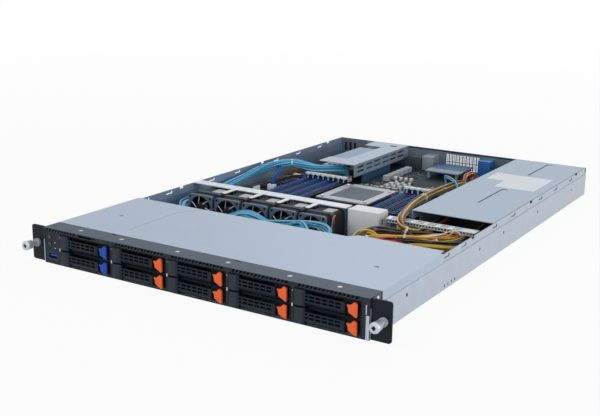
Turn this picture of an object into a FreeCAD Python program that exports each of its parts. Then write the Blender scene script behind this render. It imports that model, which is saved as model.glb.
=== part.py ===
import FreeCAD, Part
import math
import os
import re
import Sketcher

# A 1U rack server with its main lid off: ten drive carriers in front, a fan wall, the board and two power supplies.
# X runs to the right seen from the front, Y to the rear, Z up. The origin is on the pan's bottom face, in the middle,
# in the plane where the rack ears meet the rack posts. Millimetres.

COLUMNS = 5
ROWS = 2
FANS = 5
BANK = 8
BLADES = 5
COILS = 6
# Facets of the small rounds that repeat many times
PIN_SIDES = 6
HUB_SIDES = 2 * BLADES
DUCT_SIDES = 12
ROUND_SIDES = 12
KNURL_SIDES = 16

SIZES = {
    # Sheet steel and clearances
    "sheet": 1.2,
    "cover_sheet": 1.0,
    "seat_gap": 0.3,
    "slide_gap": 0.4,
    # Drive bays
    "carrier_width": 76.6,
    "carrier_height": 17.4,
    "carrier_length": 122.0,
    "carrier_rail": 1.6,
    "carrier_bar": 4.0,
    "column_gap": 4.4,
    "row_gap": 1.6,
    "left_margin": 28.0,
    "right_margin": 9.4,
    "vent_strip": 5.1,
    "divider": 0.8,
    "ledge": 2.6,
    "bay_play": 0.5,
    "vent_width": 3.8,
    "vent_height": 2.4,
    "vent_pitch": 9.4,
    "tag_width": 20.0,
    # Carrier lever and latch
    "front_wall": 4.6,
    "front_wall_thick": 4.0,
    "lug": 0.8,
    "lug_length": 7.0,
    "lug_reach": 2.0,
    "lever_inset": 1.2,
    "lever_end": 60.2,
    "lever_proud": 2.5,
    "lever_thick": 5.0,
    "lever_play": 0.15,
    "pivot_inset": 3.2,
    "pin_radius": 1.2,
    "pin_play": 0.05,
    "grille_start": 15.0,
    "grille_pitch": 8.0,
    "grille_hole": 6.4,
    "grille_slot": 4.4,
    "grille_bar": 2.0,
    "latch_width": 12.4,
    "latch_gap": 0.6,
    "latch_proud": 3.2,
    "latch_taper": 3.2,
    "latch_rise": 1.0,
    "wing": 0.8,
    # Front frame, ears and thumbscrews
    "frame_depth": 26.0,
    "ear_sheet": 2.0,
    "ear_setback": 3.0,
    "ear_reach": 22.0,
    "ear_rim": 0.4,
    "ear_corner": 3.0,
    "ear_flange": 30.0,
    "screw_inset": 8.75,
    "ferrule_radius": 5.0,
    "ferrule_length": 3.0,
    "neck_radius": 3.1,
    "knob_radius": 5.8,
    "knob_length": 11.0,
    "knob_taper": 2.4,
    "screw_travel": 6.5,
    "recess_width": 1.4,
    "recess_length": 5.0,
    "recess_depth": 1.6,
    # Control panel
    "panel_width": 21.6,
    "panel_height": 36.0,
    "panel_depth": 10.0,
    "button_radius": 2.4,
    "button_proud": 0.8,
    "button_length": 7.0,
    "button_inset": 7.0,
    "power_drop": 6.2,
    "button_pitch": 8.0,
    "lamp_size": 1.6,
    "lamp_pitch": 5.4,
    "port_width": 13.2,
    "port_height": 5.8,
    # Covers
    "front_cover_depth": 144.0,
    "cover_step": 11.0,
    "cover_step_width": 108.0,
    "flange_drop": 11.2,
    "psu_cover_depth": 384.0,
    "seam_width": 1.2,
    "seam_length": 92.0,
    # Fan wall
    "cable_bay": 64.0,
    "fan_size": 40.0,
    "fan_depth": 56.0,
    "fan_gap": 4.4,
    "fan_margin": 32.0,
    "fan_wall": 1.2,
    "fan_corner": 4.0,
    "hub_radius": 9.4,
    "hub_length": 25.0,
    "hub_inset": 4.0,
    "tip_gap": 0.6,
    "blade_thick": 1.4,
    "blade_sweep": 11.0,
    "blade_crown": 1.8,
    "motor_length": 10.0,
    "strut": 2.4,
    "shaft_radius": 1.5,
    "bar_depth": 18.0,
    "bar_overlap": 7.0,
    "finger_width": 7.0,
    "finger_length": 26.0,
    "baffle_width": 44.5,
    "baffle_depth": 26.0,
    "baffle_wall": 1.6,
    "bridge_depth": 14.0,
    "bridge_drop": 7.0,
    # Board and what stands on it
    "board_gap": 18.0,
    "board_depth": 392.0,
    "board_thick": 1.6,
    "board_edge": 3.0,
    "standoff": 6.0,
    "standoff_radius": 3.0,
    "dimm_margin": 62.0,
    "dimm_pitch": 9.14,
    "dimm_width": 6.4,
    "dimm_length": 142.0,
    "dimm_start": 54.0,
    "dimm_height": 9.0,
    "dimm_tower": 13.0,
    "dimm_tower_length": 8.0,
    "groove_width": 1.8,
    "groove_depth": 5.5,
    "cheek": 0.9,
    "latch_height": 16.5,
    "lever_side": 0.2,
    "socket_start": 92.0,
    "socket_left": 5.8,
    "socket_right": 11.8,
    "load_width": 84.0,
    "load_length": 98.0,
    "load_sheet": 2.0,
    "load_side": 13.0,
    "load_end": 16.0,
    "socket_height": 6.2,
    "cap_rise": 3.0,
    "hinge_radius": 1.6,
    "coil_side": 10.0,
    "coil_height": 8.0,
    "coil_pitch": 15.0,
    "header_depth": 10.0,
    "header_height": 8.0,
    "plug_depth": 6.0,
    # Rear
    "rear_gap": 8.8,
    "riser_gap": 14.0,
    "riser_width": 64.0,
    "riser_clear": 4.0,
    "riser_wall": 20.0,
    "riser_slot": 22.0,
    "riser_slot_height": 3.4,
    "riser_slot_pitch": 28.0,
    "riser_rim": 32.0,
    "riser_front_rim": 36.0,
    "riser_rear_rim": 38.0,
    "riser_card_length": 96.0,
    "card_reach": 66.0,
    "card_drop": 16.0,
    "bracket_height": 15.0,
    "mezzanine_width": 58.0,
    "mezzanine_depth": 64.0,
    "mezzanine_rise": 11.0,
    "psu_width": 54.5,
    "psu_height": 39.2,
    "psu_depth": 232.0,
    "psu_gap": 0.4,
    "inlet_width": 27.0,
    "inlet_height": 19.5,
    "inlet_depth": 14.0,
    "handle_reach": 22.0,
    "handle_bar": 3.0,
    "handle_width": 9.0,
    "release_width": 6.0,
    "release_reach": 12.0,
    "release_travel": 2.5,
    "release_thick": 2.0,
    "power_board_gap": 5.0,
    "grid_pitch": 6.0,
    "grid_slot": 4.2,
    "grid_height": 11.6,
    "grid_bar": 1.6,
    # Side wall holes
    "rail_hole_radius": 2.1,
    "rail_hole_height": 23.0,
    "hook_length": 14.0,
    "hook_height": 4.0,
    "hook_slot": 1.6,
    "hook_lip": 3.0,
    "notch_length": 8.0,
    "notch_depth": 3.0,
    # Cables
    "data_bundle_radius": 4.6,
    "power_bundle_radius": 3.8,
}

# Places worked out from the sizes
PLACES = {
    "half": "(left_margin + 5 * carrier_width + 4 * column_gap + right_margin) / 2",
    "bay_stack": "sheet + 2 * slide_gap + 2 * carrier_height + row_gap + vent_strip",
    "psu_stack": "2 * sheet + 3 * seat_gap + psu_height + cover_sheet",
    "fan_stack": "sheet + fan_size + seat_gap + 2 * cover_sheet",
    "height": "max(bay_stack; psu_stack; fan_stack)",
    "front": "-ear_sheet - ear_setback",
    "plate_back": "front + sheet",
    "cover_front": "front + frame_depth",
    "cover_rear": "cover_front + front_cover_depth",
    "fan_front": "cover_rear + cable_bay",
    "fan_rear": "fan_front + fan_depth",
    "board_front": "fan_rear + board_gap",
    "board_rear": "board_front + board_depth",
    "rear": "board_rear + rear_gap + sheet",
    "inner": "half - cover_sheet - sheet",
    "jog": "height - flange_drop",
    "wall_top": "height - sheet - seat_gap",
    "bay_left": "-half + left_margin",
    "bay_pitch": "carrier_width + column_gap",
    "bay_floor": "sheet + slide_gap",
    "row_pitch": "carrier_height + row_gap",
    "bay_roof": "bay_floor + 2 * carrier_height + row_gap + slide_gap",
    "shelf": "bay_floor + carrier_height + slide_gap",
    "shelf_thick": "row_gap - 2 * slide_gap",
    "bay_rear": "front + carrier_length",
    "backplane": "bay_rear + 6",
    "ear_mid": "height / 2",
    "screw_x": "half + seat_gap + ear_reach - screw_inset",
    "fan_left": "-half + fan_margin",
    "fan_pitch": "fan_size + fan_gap",
    "fan_right": "fan_left + 4 * fan_pitch + fan_size",
    "fan_top": "sheet + fan_size",
    "fan_mid": "sheet + fan_size / 2",
    "duct": "fan_size / 2 - fan_wall",
    "shaft_hole": "(shaft_radius + pin_play) / 0.866",
    "web": "fan_rear + seat_gap",
    "baffle_left": "fan_right + 4",
    "bridge_left": "baffle_left + baffle_width + 3",
    "bridge_top": "fan_top - bridge_drop",
    "board_low": "sheet + standoff",
    "board_top": "board_low + board_thick",
    "psu_right_x": "inner - psu_gap - psu_width",
    "psu_left_x": "psu_right_x - psu_gap - psu_width",
    "bay_wall": "psu_left_x - psu_gap - cover_sheet",
    "psu_front": "rear - psu_depth",
    "dimm_left": "-half + dimm_margin",
    "dimm_span": "7 * dimm_pitch",
    "dimm_front": "board_front + dimm_start",
    "dimm_rear": "dimm_front + dimm_length",
    "load_left": "dimm_left + dimm_span + dimm_width / 2 + socket_left",
    "load_right": "load_left + load_width",
    "load_front": "board_front + socket_start",
    "load_rear": "load_front + load_length",
    "load_low": "board_top + socket_height + seat_gap",
    "dimm_right": "load_right + socket_right + dimm_width / 2",
    "riser_right": "dimm_left + dimm_span + dimm_width / 2 + riser_clear",
    "riser_left": "riser_right - riser_width",
    "riser_front": "dimm_rear + riser_gap",
    "riser_rear": "rear - sheet - seat_gap",
    "riser_top": "wall_top",
    "riser_card_x": "riser_right - cover_sheet - seat_gap - board_thick",
    "card_socket_x": "riser_card_x - 9",
    "card_left": "card_socket_x - card_reach",
    "card_low": "riser_top - card_drop",
    "lever_height": "carrier_height - 2 * lug - 2 * lever_play",
    "pivot_y": "lever_thick / 2 - lever_proud",
    "pin_hole": "(pin_radius + pin_play) / 0.866",
    "latch_left": "lever_end + latch_gap",
    "latch_low": "lug + lever_play",
    "latch_side_height": "lever_height",
    "panel_left": "-half + 3",
    "panel_low": "3",
    "panel_top": "panel_low + panel_height",
    "power_z": "panel_top - power_drop",
    "button_hole": "(button_radius + seat_gap) / 0.9659",
    "ferrule_bore": "(neck_radius + 2 * pin_play) / 0.9659",
    "lamp_left": "panel_left + button_inset + 7",
    "back_of_port": "front + panel_depth - 1",
    "pivot_z": "3.6",
    "pivot_back": "dimm_length - dimm_tower_length + 4.4",
}

WORD = re.compile(r"[a-z][a-z_0-9]*")
doc = FreeCAD.newDocument("rack_server")
sheet = doc.addObject("Spreadsheet::Sheet", "Sizes")
for row, (alias, number) in enumerate(SIZES.items(), 1):
    sheet.set(f"A{row}", str(number))
    sheet.setAlias(f"A{row}", alias)
doc.recompute()

nodes = []
cuts = []


def value(text):
    """Writes sizes and places named in the text as one expression on the sheet."""
    def swap(found):
        word = found.group(0)
        if word in PLACES:
            return f"({value(PLACES[word])})"
        return f"Sizes.{word}" if word in SIZES else word
    return WORD.sub(swap, str(text))


def bind(item, **texts):
    for name, text in texts.items():
        item.setExpression(name.replace("__", "."), value(text))
    return item


def place(item, x, y, z):
    return bind(item, Placement__Base__x=x, Placement__Base__y=y, Placement__Base__z=z)


def node(item, label):
    item.Label = label
    nodes.append(item)
    return item


# Part primitives and booleans

def block(x, y, z, end_x, end_y, end_z):
    """A box between two corners."""
    item = doc.addObject("Part::Box", "Block")
    bind(item, Length=f"({end_x}) - ({x})", Width=f"({end_y}) - ({y})", Height=f"({end_z}) - ({z})")
    return place(item, x, y, z)


TURN = {"x": (0, 1, 0, 90), "y": (1, 0, 0, -90), "z": (0, 0, 1, 0)}


def turned(item, axis):
    x, y, z, angle = TURN[axis]
    item.Placement = FreeCAD.Placement(FreeCAD.Vector(), FreeCAD.Rotation(FreeCAD.Vector(x, y, z), angle))
    return item


def rod(x, y, z, radius, length, axis="z"):
    item = turned(doc.addObject("Part::Cylinder", "Rod"), axis)
    bind(item, Radius=radius, Height=length)
    return place(item, x, y, z)


def prism(x, y, z, radius, length, sides):
    """A regular prism along Y, with its corners at the radius."""
    item = turned(doc.addObject("Part::Prism", "Prism"), "y")
    item.Polygon = sides
    bind(item, Circumradius=radius, Height=length)
    return place(item, x, y, z)


def join(*items):
    item = doc.addObject("Part::MultiFuse", "Joined")
    item.Shapes = list(items)
    item.Refine = True
    return item


def group(*items):
    item = doc.addObject("Part::Compound", "Group")
    item.Links = list(items)
    return item


def cut(base, *tools):
    item = doc.addObject("Part::Cut", "Trimmed")
    item.Base = base
    item.Tool = tools[0] if len(tools) == 1 else group(*tools)
    item.Refine = True
    cuts.append((base, item))
    return item


def copy(form, x, y, z, axis="z"):
    """One more piece of the same form at its own place."""
    return place(turned(group(form), axis), x, y, z)


# Sketched bodies

def new_body():
    return doc.addObject("PartDesign::Body", "Body")


def sketch_on(body, plane, offset="0"):
    """A sketch on an origin plane; the offset runs along +Z, +X, or +Y for XY, YZ and XZ."""
    support = next(f for f in body.Origin.OriginFeatures if f.Role == f"{plane}_Plane")
    sketch = body.newObject("Sketcher::SketchObject", "Sketch")
    sketch.AttachmentSupport = [(support, "")]
    sketch.MapMode = "FlatFace"
    sign = "-" if plane == "XZ" else ""
    return bind(sketch, AttachmentOffset__Base__z=f"{sign}({offset})")


def fix_point(sketch, line, end, spot, u, v):
    across = sketch.addConstraint(Sketcher.Constraint("DistanceX", -1, 1, line, end, spot.x))
    sketch.setExpression(f"Constraints[{across}]", value(u))
    up = sketch.addConstraint(Sketcher.Constraint("DistanceY", -1, 1, line, end, spot.y))
    sketch.setExpression(f"Constraints[{up}]", value(v))


def polygon(sketch, points):
    """A closed outline whose corners are bound to the sheet."""
    count = len(points)
    first = sketch.GeometryCount
    spots = []
    for i in range(count):
        angle = 2 * math.pi * i / count
        spots.append(FreeCAD.Vector(math.cos(angle), math.sin(angle), 0))
    for i in range(count):
        sketch.addGeometry(Part.LineSegment(spots[i], spots[(i + 1) % count]), False)
    for i in range(count):
        sketch.addConstraint(Sketcher.Constraint("Coincident", first + i, 2, first + (i + 1) % count, 1))
    for i, (u, v) in enumerate(points):
        fix_point(sketch, first + i, 1, spots[i], u, v)
    return sketch


def rectangle(sketch, u, v, end_u, end_v):
    return polygon(sketch, [(u, v), (end_u, v), (end_u, end_v), (u, end_v)])


def circle(sketch, u, v, radius):
    first = sketch.addGeometry(Part.Circle(FreeCAD.Vector(), FreeCAD.Vector(0, 0, 1), 1), False)
    fix_point(sketch, first, 3, FreeCAD.Vector(), u, v)
    size = sketch.addConstraint(Sketcher.Constraint("Radius", first, 1))
    sketch.setExpression(f"Constraints[{size}]", value(radius))
    return sketch


def regular(sketch, u, v, radius, sides):
    """A regular outline with its corners at the radius."""
    corners = []
    for step in range(sides):
        angle = 2 * math.pi * step / sides
        corners.append((f"{u} + {math.cos(angle):.5f} * ({radius})", f"{v} + {math.sin(angle):.5f} * ({radius})"))
    return polygon(sketch, corners)


def pad(body, sketch, length, plane):
    """Raises a sketch along +Z, +X or +Y."""
    feature = body.newObject("PartDesign::Pad", "Pad")
    feature.Profile = sketch
    feature.Reversed = plane == "XZ"
    return bind(feature, Length=length)


def pocket(body, sketch, length, plane):
    """Cuts a sketch along +Z, +X or +Y."""
    base = body.Tip
    feature = body.newObject("PartDesign::Pocket", "Pocket")
    feature.Profile = sketch
    feature.Reversed = plane != "XZ"
    cuts.append((base, feature))
    return bind(feature, Length=length)


def repeat(body, feature, axis, step, count):
    """A row of copies of one feature along an axis of the body."""
    pattern = body.newObject("PartDesign::LinearPattern", "Row")
    pattern.Originals = [feature]
    pattern.Direction = (next(f for f in body.Origin.OriginFeatures if f.Role == f"{axis}_Axis"), [""])
    pattern.Occurrences = count
    bind(pattern, Length=f"{count - 1} * ({step})")
    body.Tip = pattern
    return pattern


# Cable bundles follow points chosen by hand; the first and last runs are straight, out of a socket.
DATA_ROUTE = [(44, 130.6, 20), (44, 140, 20), (42, 176, 27), (2, 206, 34), (-80, 194, 34), (-160, 190, 30),
              (-202, 226, 24), (-205, 360, 22), (-207, 440, 32), (-194, 488, 33), (-150, 504, 32), (-118, 524, 30),
              (-112, 536, 25), (-112, 536, 16.8)]
POWER_ROUTE = [(84, 130.6, 20), (84, 140, 20), (86, 176, 26), (106, 212, 33), (150, 222, 35), (188, 250, 28),
               (186, 330, 18), (178, 446, 20), (178, 462, 20)]
BOARD_ROUTE = [(128, 462, 24), (128, 446, 24), (128, 390, 21), (130, 310, 20), (134, 268, 26), (118, 258, 36),
               (101, 300, 39.4), (82, 392, 38.4), (84, 490, 36), (88, 537, 33), (88, 546, 25), (88, 546, 16.8)]
BUNDLE_SIDES = 5


def bay_x(column):
    return f"bay_left + {column} * bay_pitch"


def bay_z(row):
    return f"bay_floor + {row} * row_pitch"


def fan_x(index):
    return f"fan_left + {index} * fan_pitch"


STANDOFFS = [("-inner + 12", "board_front + 10"), ("dimm_right - 9", "board_front + 10"),
             ("bay_wall - 12", "board_front + 10"), ("-inner + 12", "dimm_rear + 6"),
             ("load_right + 5", "dimm_rear + 6"), ("bay_wall - 12", "dimm_rear + 6"),
             ("-inner + 12", "board_rear - 10"), ("load_right + 5", "board_rear - 10"),
             ("bay_wall - 12", "board_rear - 10")]
RAIL_HOLES = ["front + 81", "fan_rear + 67"]
HOOKS = ["cover_rear + 5", "cover_rear + 53", "fan_rear + 30", "fan_rear + 94", "psu_front + 12", "psu_front + 78",
         "psu_front + 147"]
NOTCHES = ["fan_front + 19", "psu_front - 24", "rear - 54"]


def base_pan():
    body = new_body()
    wall = [("half", "0"), ("half", "jog"), ("half - cover_sheet", "jog"), ("half - cover_sheet", "wall_top"),
            ("inner", "wall_top"), ("inner", "jog - sheet"), ("half - sheet", "jog - sheet"), ("half - sheet", "sheet")]
    mirrored = [(f"-({u})", v) for u, v in reversed(wall)]
    section = polygon(sketch_on(body, "XZ", "plate_back"), wall + mirrored)
    pad(body, section, "rear - plate_back", "XZ")
    posts = sketch_on(body, "XY", "sheet")
    for x, y in STANDOFFS:
        regular(posts, x, y, "standoff_radius", 6)
    pad(body, posts, "standoff", "XY")
    holes = sketch_on(body, "YZ", "-half - 1")
    for y in RAIL_HOLES:
        circle(holes, y, "rail_hole_height", "rail_hole_radius")
    for y in HOOKS:
        low, end = "jog + hook_height", f"{y} + hook_length"
        polygon(holes, [(y, low), (end, low), (end, f"{low} + hook_height"), (f"{end} - hook_lip", f"{low} + hook_height"),
                        (f"{end} - hook_lip", f"{low} + hook_slot"), (y, f"{low} + hook_slot")])
    for y in NOTCHES:
        rectangle(holes, y, "wall_top - notch_depth", f"{y} + notch_length", "wall_top + 1")
    pocket(body, holes, "2 * half + 2", "YZ")
    vent = rectangle(sketch_on(body, "YZ", "-half - 1"), "cover_rear + 6", "3", "cover_rear + 9", "6")
    slots = pocket(body, vent, "2 * half + 2", "YZ")
    repeat(body, slots, "Y", "vent_pitch", 4)
    return node(body, "base_pan")


def divider_outline(gap, top):
    """A wall between two columns of bays, with the ledges that carry the upper row."""
    middle = f"bay_left - column_gap / 2 + {gap} * bay_pitch"
    left = f"{middle} - divider / 2"
    right = f"{middle} + divider / 2"
    reach = "(column_gap / 2 + ledge)"
    out = f"{middle} - {reach}"
    far = f"{middle} + {reach}"
    outline = [(left, "sheet"), (right, "sheet")]
    if gap < COLUMNS:
        outline += [(right, "shelf"), (far, "shelf"), (far, "shelf + shelf_thick"), (right, "shelf + shelf_thick")]
    outline += [(right, top), (left, top)]
    if gap:
        outline += [(left, "shelf + shelf_thick"), (out, "shelf + shelf_thick"), (out, "shelf"), (left, "shelf")]
    return outline


def drive_cage():
    body = new_body()
    plate = rectangle(sketch_on(body, "XZ", "front"), "-half", "0", "half", "height")
    rectangle(plate, "panel_left - slide_gap", "panel_low - slide_gap", "panel_left + panel_width + slide_gap",
              "panel_top + slide_gap")
    for column in range(COLUMNS):
        left = bay_x(column)
        rectangle(plate, f"{left} - bay_play", "sheet", f"{left} + carrier_width + bay_play", "bay_roof")
    pad(body, plate, "sheet", "XZ")
    top = polygon(sketch_on(body, "XY", "height - sheet"), [
        ("-half", "front"), ("half", "front"), ("half", "cover_front - seat_gap"),
        ("half / 5 + 8", "cover_front - seat_gap"), ("half / 5 + 8", "cover_front - 4"),
        ("half / 5", "cover_front - 4"), ("half / 5", "cover_front - seat_gap"),
        ("-half * 0.6 + 8", "cover_front - seat_gap"), ("-half * 0.6 + 8", "cover_front - 4"),
        ("-half * 0.6", "cover_front - 4"), ("-half * 0.6", "cover_front - seat_gap"),
        ("-half", "cover_front - seat_gap")])
    pad(body, top, "sheet", "XY")
    sides = sketch_on(body, "XY", "jog + seat_gap")
    for side in ("", "-"):
        rectangle(sides, f"{side}(half - cover_sheet + 0.1)", "plate_back - 0.2", f"{side}half", "cover_front - seat_gap")
    pad(body, sides, "height - jog - seat_gap", "XY")
    for top, end in (("height - sheet / 2", "cover_front - sheet"), ("bay_roof", "backplane - seat_gap")):
        rails = sketch_on(body, "XZ", "plate_back - 0.2")
        for gap in range(COLUMNS + 1):
            polygon(rails, divider_outline(gap, top))
        pad(body, rails, f"{end} - plate_back + 0.2", "XZ")
    low = "height - 1.4 - vent_height"
    tag = rectangle(sketch_on(body, "XZ", "front - 1"), "bay_left + 28", low, "bay_left + 28 + tag_width",
                    f"{low} + vent_height")
    pocket(body, tag, "sheet + 1.2", "XZ")
    vents = sketch_on(body, "XZ", "front - 1")
    for column in range(1, COLUMNS):
        left = f"{bay_x(column)} + 4"
        rectangle(vents, left, low, f"{left} + vent_width", f"{low} + vent_height")
    repeat(body, pocket(body, vents, "sheet + 1.2", "XZ"), "X", "vent_pitch", 8)
    return node(body, "drive_cage")


def carrier_form():
    """A drive tray: front wall with lever lugs, two rails and a low rear bar, from the carrier's lower front left."""
    body = new_body()
    ring = rectangle(sketch_on(body, "XY"), "0", "front_wall", "carrier_width", "carrier_length")
    rectangle(ring, "carrier_rail", "front_wall + front_wall_thick", "carrier_width - carrier_rail",
              "carrier_length - carrier_bar")
    pad(body, ring, "carrier_height", "XY")
    lugs = sketch_on(body, "XY")
    polygon(lugs, [("0.2", "-lug_reach"), ("lug_length - 2", "-lug_reach"), ("lug_length", "front_wall + 0.4"),
                   ("0.2", "front_wall + 0.4")])
    regular(lugs, "pivot_inset", "pivot_y", "pin_hole", PIN_SIDES)
    pad(body, lugs, "lug", "XY")
    upper = sketch_on(body, "XY", "carrier_height - lug")
    polygon(upper, [("0.2", "-lug_reach"), ("lug_length - 2", "-lug_reach"), ("lug_length", "front_wall + 0.4"),
                    ("0.2", "front_wall + 0.4")])
    regular(upper, "pivot_inset", "pivot_y", "pin_hole", PIN_SIDES)
    pad(body, upper, "lug", "XY")
    wing = rectangle(sketch_on(body, "XY"), "carrier_width - wing", "0", "carrier_width", "front_wall + 0.4")
    pad(body, wing, "carrier_height", "XY")
    window = rectangle(sketch_on(body, "XZ", "front_wall - 1"), "grille_start", "3", "lever_end - 6",
                       "carrier_height - 3")
    pocket(body, window, "front_wall_thick + 2", "XZ")
    mouth = rectangle(sketch_on(body, "XZ", "carrier_length - carrier_bar - 1"), "carrier_rail", "carrier_bar",
                      "carrier_width - carrier_rail", "carrier_height + 1")
    pocket(body, mouth, "carrier_bar + 2", "XZ")
    return body


def lever_form():
    """A grilled swing handle on its own pivot pin."""
    body = new_body()
    low = "lug + lever_play"
    face = rectangle(sketch_on(body, "XZ", "-lever_proud"), "lever_inset", low, "lever_end", f"{low} + lever_height")
    pad(body, face, "lever_thick", "XZ")
    pin = regular(sketch_on(body, "XY", "0.1"), "pivot_inset", "pivot_y", "pin_radius", PIN_SIDES)
    pad(body, pin, "carrier_height - 0.2", "XY")
    hole = sketch_on(body, "XZ", "-lever_proud - 1")
    for row in range(2):
        base = f"{low} + (lever_height - grille_bar) / 2 - grille_slot + {row} * (grille_slot + grille_bar)"
        rectangle(hole, "grille_start", base, "grille_start + grille_hole", f"{base} + grille_slot")
    repeat(body, pocket(body, hole, "lever_thick + 2", "XZ"), "X", "grille_pitch", 5)
    finger = polygon(sketch_on(body, "XY", low), [
        ("lever_end + 1", "-lever_proud - 1"), ("lever_end + 1", "lever_thick / 2 - lever_proud"),
        ("lever_end - 4", "-lever_proud - 1")])
    pocket(body, finger, "lever_height", "XY")
    return body


def latch_form():
    """The coloured release tab at the right end of a lever: a wedge, taller at its right edge."""
    body = new_body()
    left = "latch_left"
    right = "latch_left + latch_width"
    top = "latch_low + latch_side_height"
    face = polygon(sketch_on(body, "XZ", "-latch_proud"), [
        (left, "latch_low + latch_taper"), (right, "latch_low"), (right, f"{top} - latch_rise"),
        (f"{right} - 3", top), (left, f"{top} - latch_taper")])
    pad(body, face, "latch_proud + front_wall - seat_gap", "XZ")
    ramp = polygon(sketch_on(body, "XY", "latch_low"), [
        (f"{left} - 1", "-latch_proud - 1"), (f"{left} + 7", "-latch_proud - 1"), (f"{left} + 4", "-latch_proud + 1.2"),
        (f"{left} - 1", "-latch_proud + 2.6")])
    pocket(body, ramp, "latch_side_height", "XY")
    return body


def carriers():
    carrier = carrier_form()
    lever = lever_form()
    latch = latch_form()
    number = 0
    for column in range(COLUMNS):
        for row in range(ROWS):
            number += 1
            for form, name in ((carrier, "drive_carrier"), (lever, "carrier_lever"), (latch, "carrier_latch")):
                node(copy(form, bay_x(column), "front", bay_z(row)), f"{name}_{number}")


def ear_form(side):
    """An L-shaped rack ear with the ferrule of its captive screw; side is an empty text or a minus."""
    body = new_body()
    outline = polygon(sketch_on(body, "XY", "ear_rim"), [
        (f"{side}(half + 0.1)", "-ear_sheet"), (f"{side}(half + seat_gap + ear_reach)", "-ear_sheet"),
        (f"{side}(half + seat_gap + ear_reach)", "0"), (f"{side}(half + 0.1 + sheet)", "0"),
        (f"{side}(half + 0.1 + sheet)", "ear_flange"), (f"{side}(half + 0.1)", "ear_flange")])
    pad(body, outline, "height - 2 * ear_rim", "XY")
    trim = rectangle(sketch_on(body, "YZ", f"{side}(half + 0.1 + sheet / 2) - sheet"), "sheet", "jog - 1",
                     "ear_flange + 1", "height")
    pocket(body, trim, "2 * sheet", "YZ")
    ring = regular(sketch_on(body, "XZ", "-ear_sheet - ferrule_length"), f"{side}screw_x", "ear_mid", "ferrule_radius",
                   ROUND_SIDES)
    pad(body, ring, "ferrule_length + ear_sheet / 2", "XZ")
    bore = regular(sketch_on(body, "XZ", "-ear_sheet - ferrule_length - 1"), f"{side}screw_x", "ear_mid",
                   "ferrule_bore", ROUND_SIDES)
    pocket(body, bore, "ear_sheet + ferrule_length + 2", "XZ")
    doc.recompute()
    outer = abs(body.Shape.BoundBox.XMin if side else body.Shape.BoundBox.XMax)
    corners = []
    for index, edge in enumerate(body.Shape.Edges, 1):
        box = edge.BoundBox
        along = box.YLength > 1 and box.XLength < 0.01 and box.ZLength < 0.01
        if along and abs(abs(box.XMin) - outer) < 0.01:
            corners.append(f"Edge{index}")
    base = body.Tip
    rounded = body.newObject("PartDesign::Fillet", "Corners")
    rounded.Base = (base, corners)
    bind(rounded, Radius="ear_corner")
    return body


def thumbscrew_form():
    """A captive screw along Y with a knurled, tapered knob, from the ear's front face."""
    body = new_body()
    knob_back = "-ferrule_length - screw_travel - slide_gap"
    knob_front = f"{knob_back} - knob_length"
    grip = regular(sketch_on(body, "XZ", knob_front), "0", "0", "knob_radius", KNURL_SIDES)
    knob = pad(body, grip, "knob_length", "XZ")
    doc.recompute()
    rim = [f"Edge{i}" for i, edge in enumerate(body.Shape.Edges, 1) if edge.BoundBox.YMin > body.Shape.BoundBox.YMax - 0.01]
    taper = body.newObject("PartDesign::Chamfer", "Taper")
    taper.Base = (knob, rim)
    bind(taper, Size="knob_taper")
    neck = regular(sketch_on(body, "XZ", f"{knob_back} - 1"), "0", "0", "neck_radius", ROUND_SIDES)
    pad(body, neck, f"1 + ear_sheet - ({knob_back})", "XZ")
    cross = sketch_on(body, "XZ", f"{knob_front} - 1")
    wide = "recess_length / 2"
    thin = "recess_width / 2"
    arms = [(wide, thin), (thin, thin), (thin, wide), (f"-{thin}", wide), (f"-{thin}", thin), (f"-{wide}", thin)]
    lower = [(f"-({u})", f"-({v})") for u, v in arms]
    polygon(cross, arms + lower)
    pocket(body, cross, "recess_depth + 1", "XZ")
    return body


def ears_and_screws():
    node(group(ear_form("-"), ear_form("")), "rack_ears")
    screw = thumbscrew_form()
    node(copy(screw, "-screw_x", "-ear_sheet", "ear_mid"), "thumbscrew_left")
    node(copy(screw, "screw_x", "-ear_sheet", "ear_mid"), "thumbscrew_right")


def control_panel():
    block_front = "front"
    back = "front + panel_depth"
    body = block("panel_left", block_front, "panel_low", "panel_left + panel_width", back, "panel_top")
    tools = []
    for index in range(2):
        z = f"power_z - {index} * button_pitch"
        tools.append(prism("panel_left + button_inset", "front - 1", z, "button_hole", "panel_depth - 1", ROUND_SIDES))
    port_left = "panel_left + (panel_width - port_width) / 2"
    tools.append(block(port_left, "front - 1", "panel_low + 4", f"{port_left} + port_width", "back_of_port",
                       "panel_low + 4 + port_height"))
    for index in range(3):
        low = f"power_z - {index} * lamp_pitch"
        tools.append(block("lamp_left", "front - 1", low, "lamp_left + lamp_size", "front + lamp_size", f"{low} + lamp_size"))
    node(cut(body, *tools), "control_panel")
    cap = prism("0", "0", "0", "button_radius", "button_length + button_proud", ROUND_SIDES)
    for index, name in enumerate(("power_button", "id_button")):
        z = f"power_z - {index} * button_pitch"
        node(copy(cap, "panel_left + button_inset", "front - button_proud", z), name)


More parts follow.
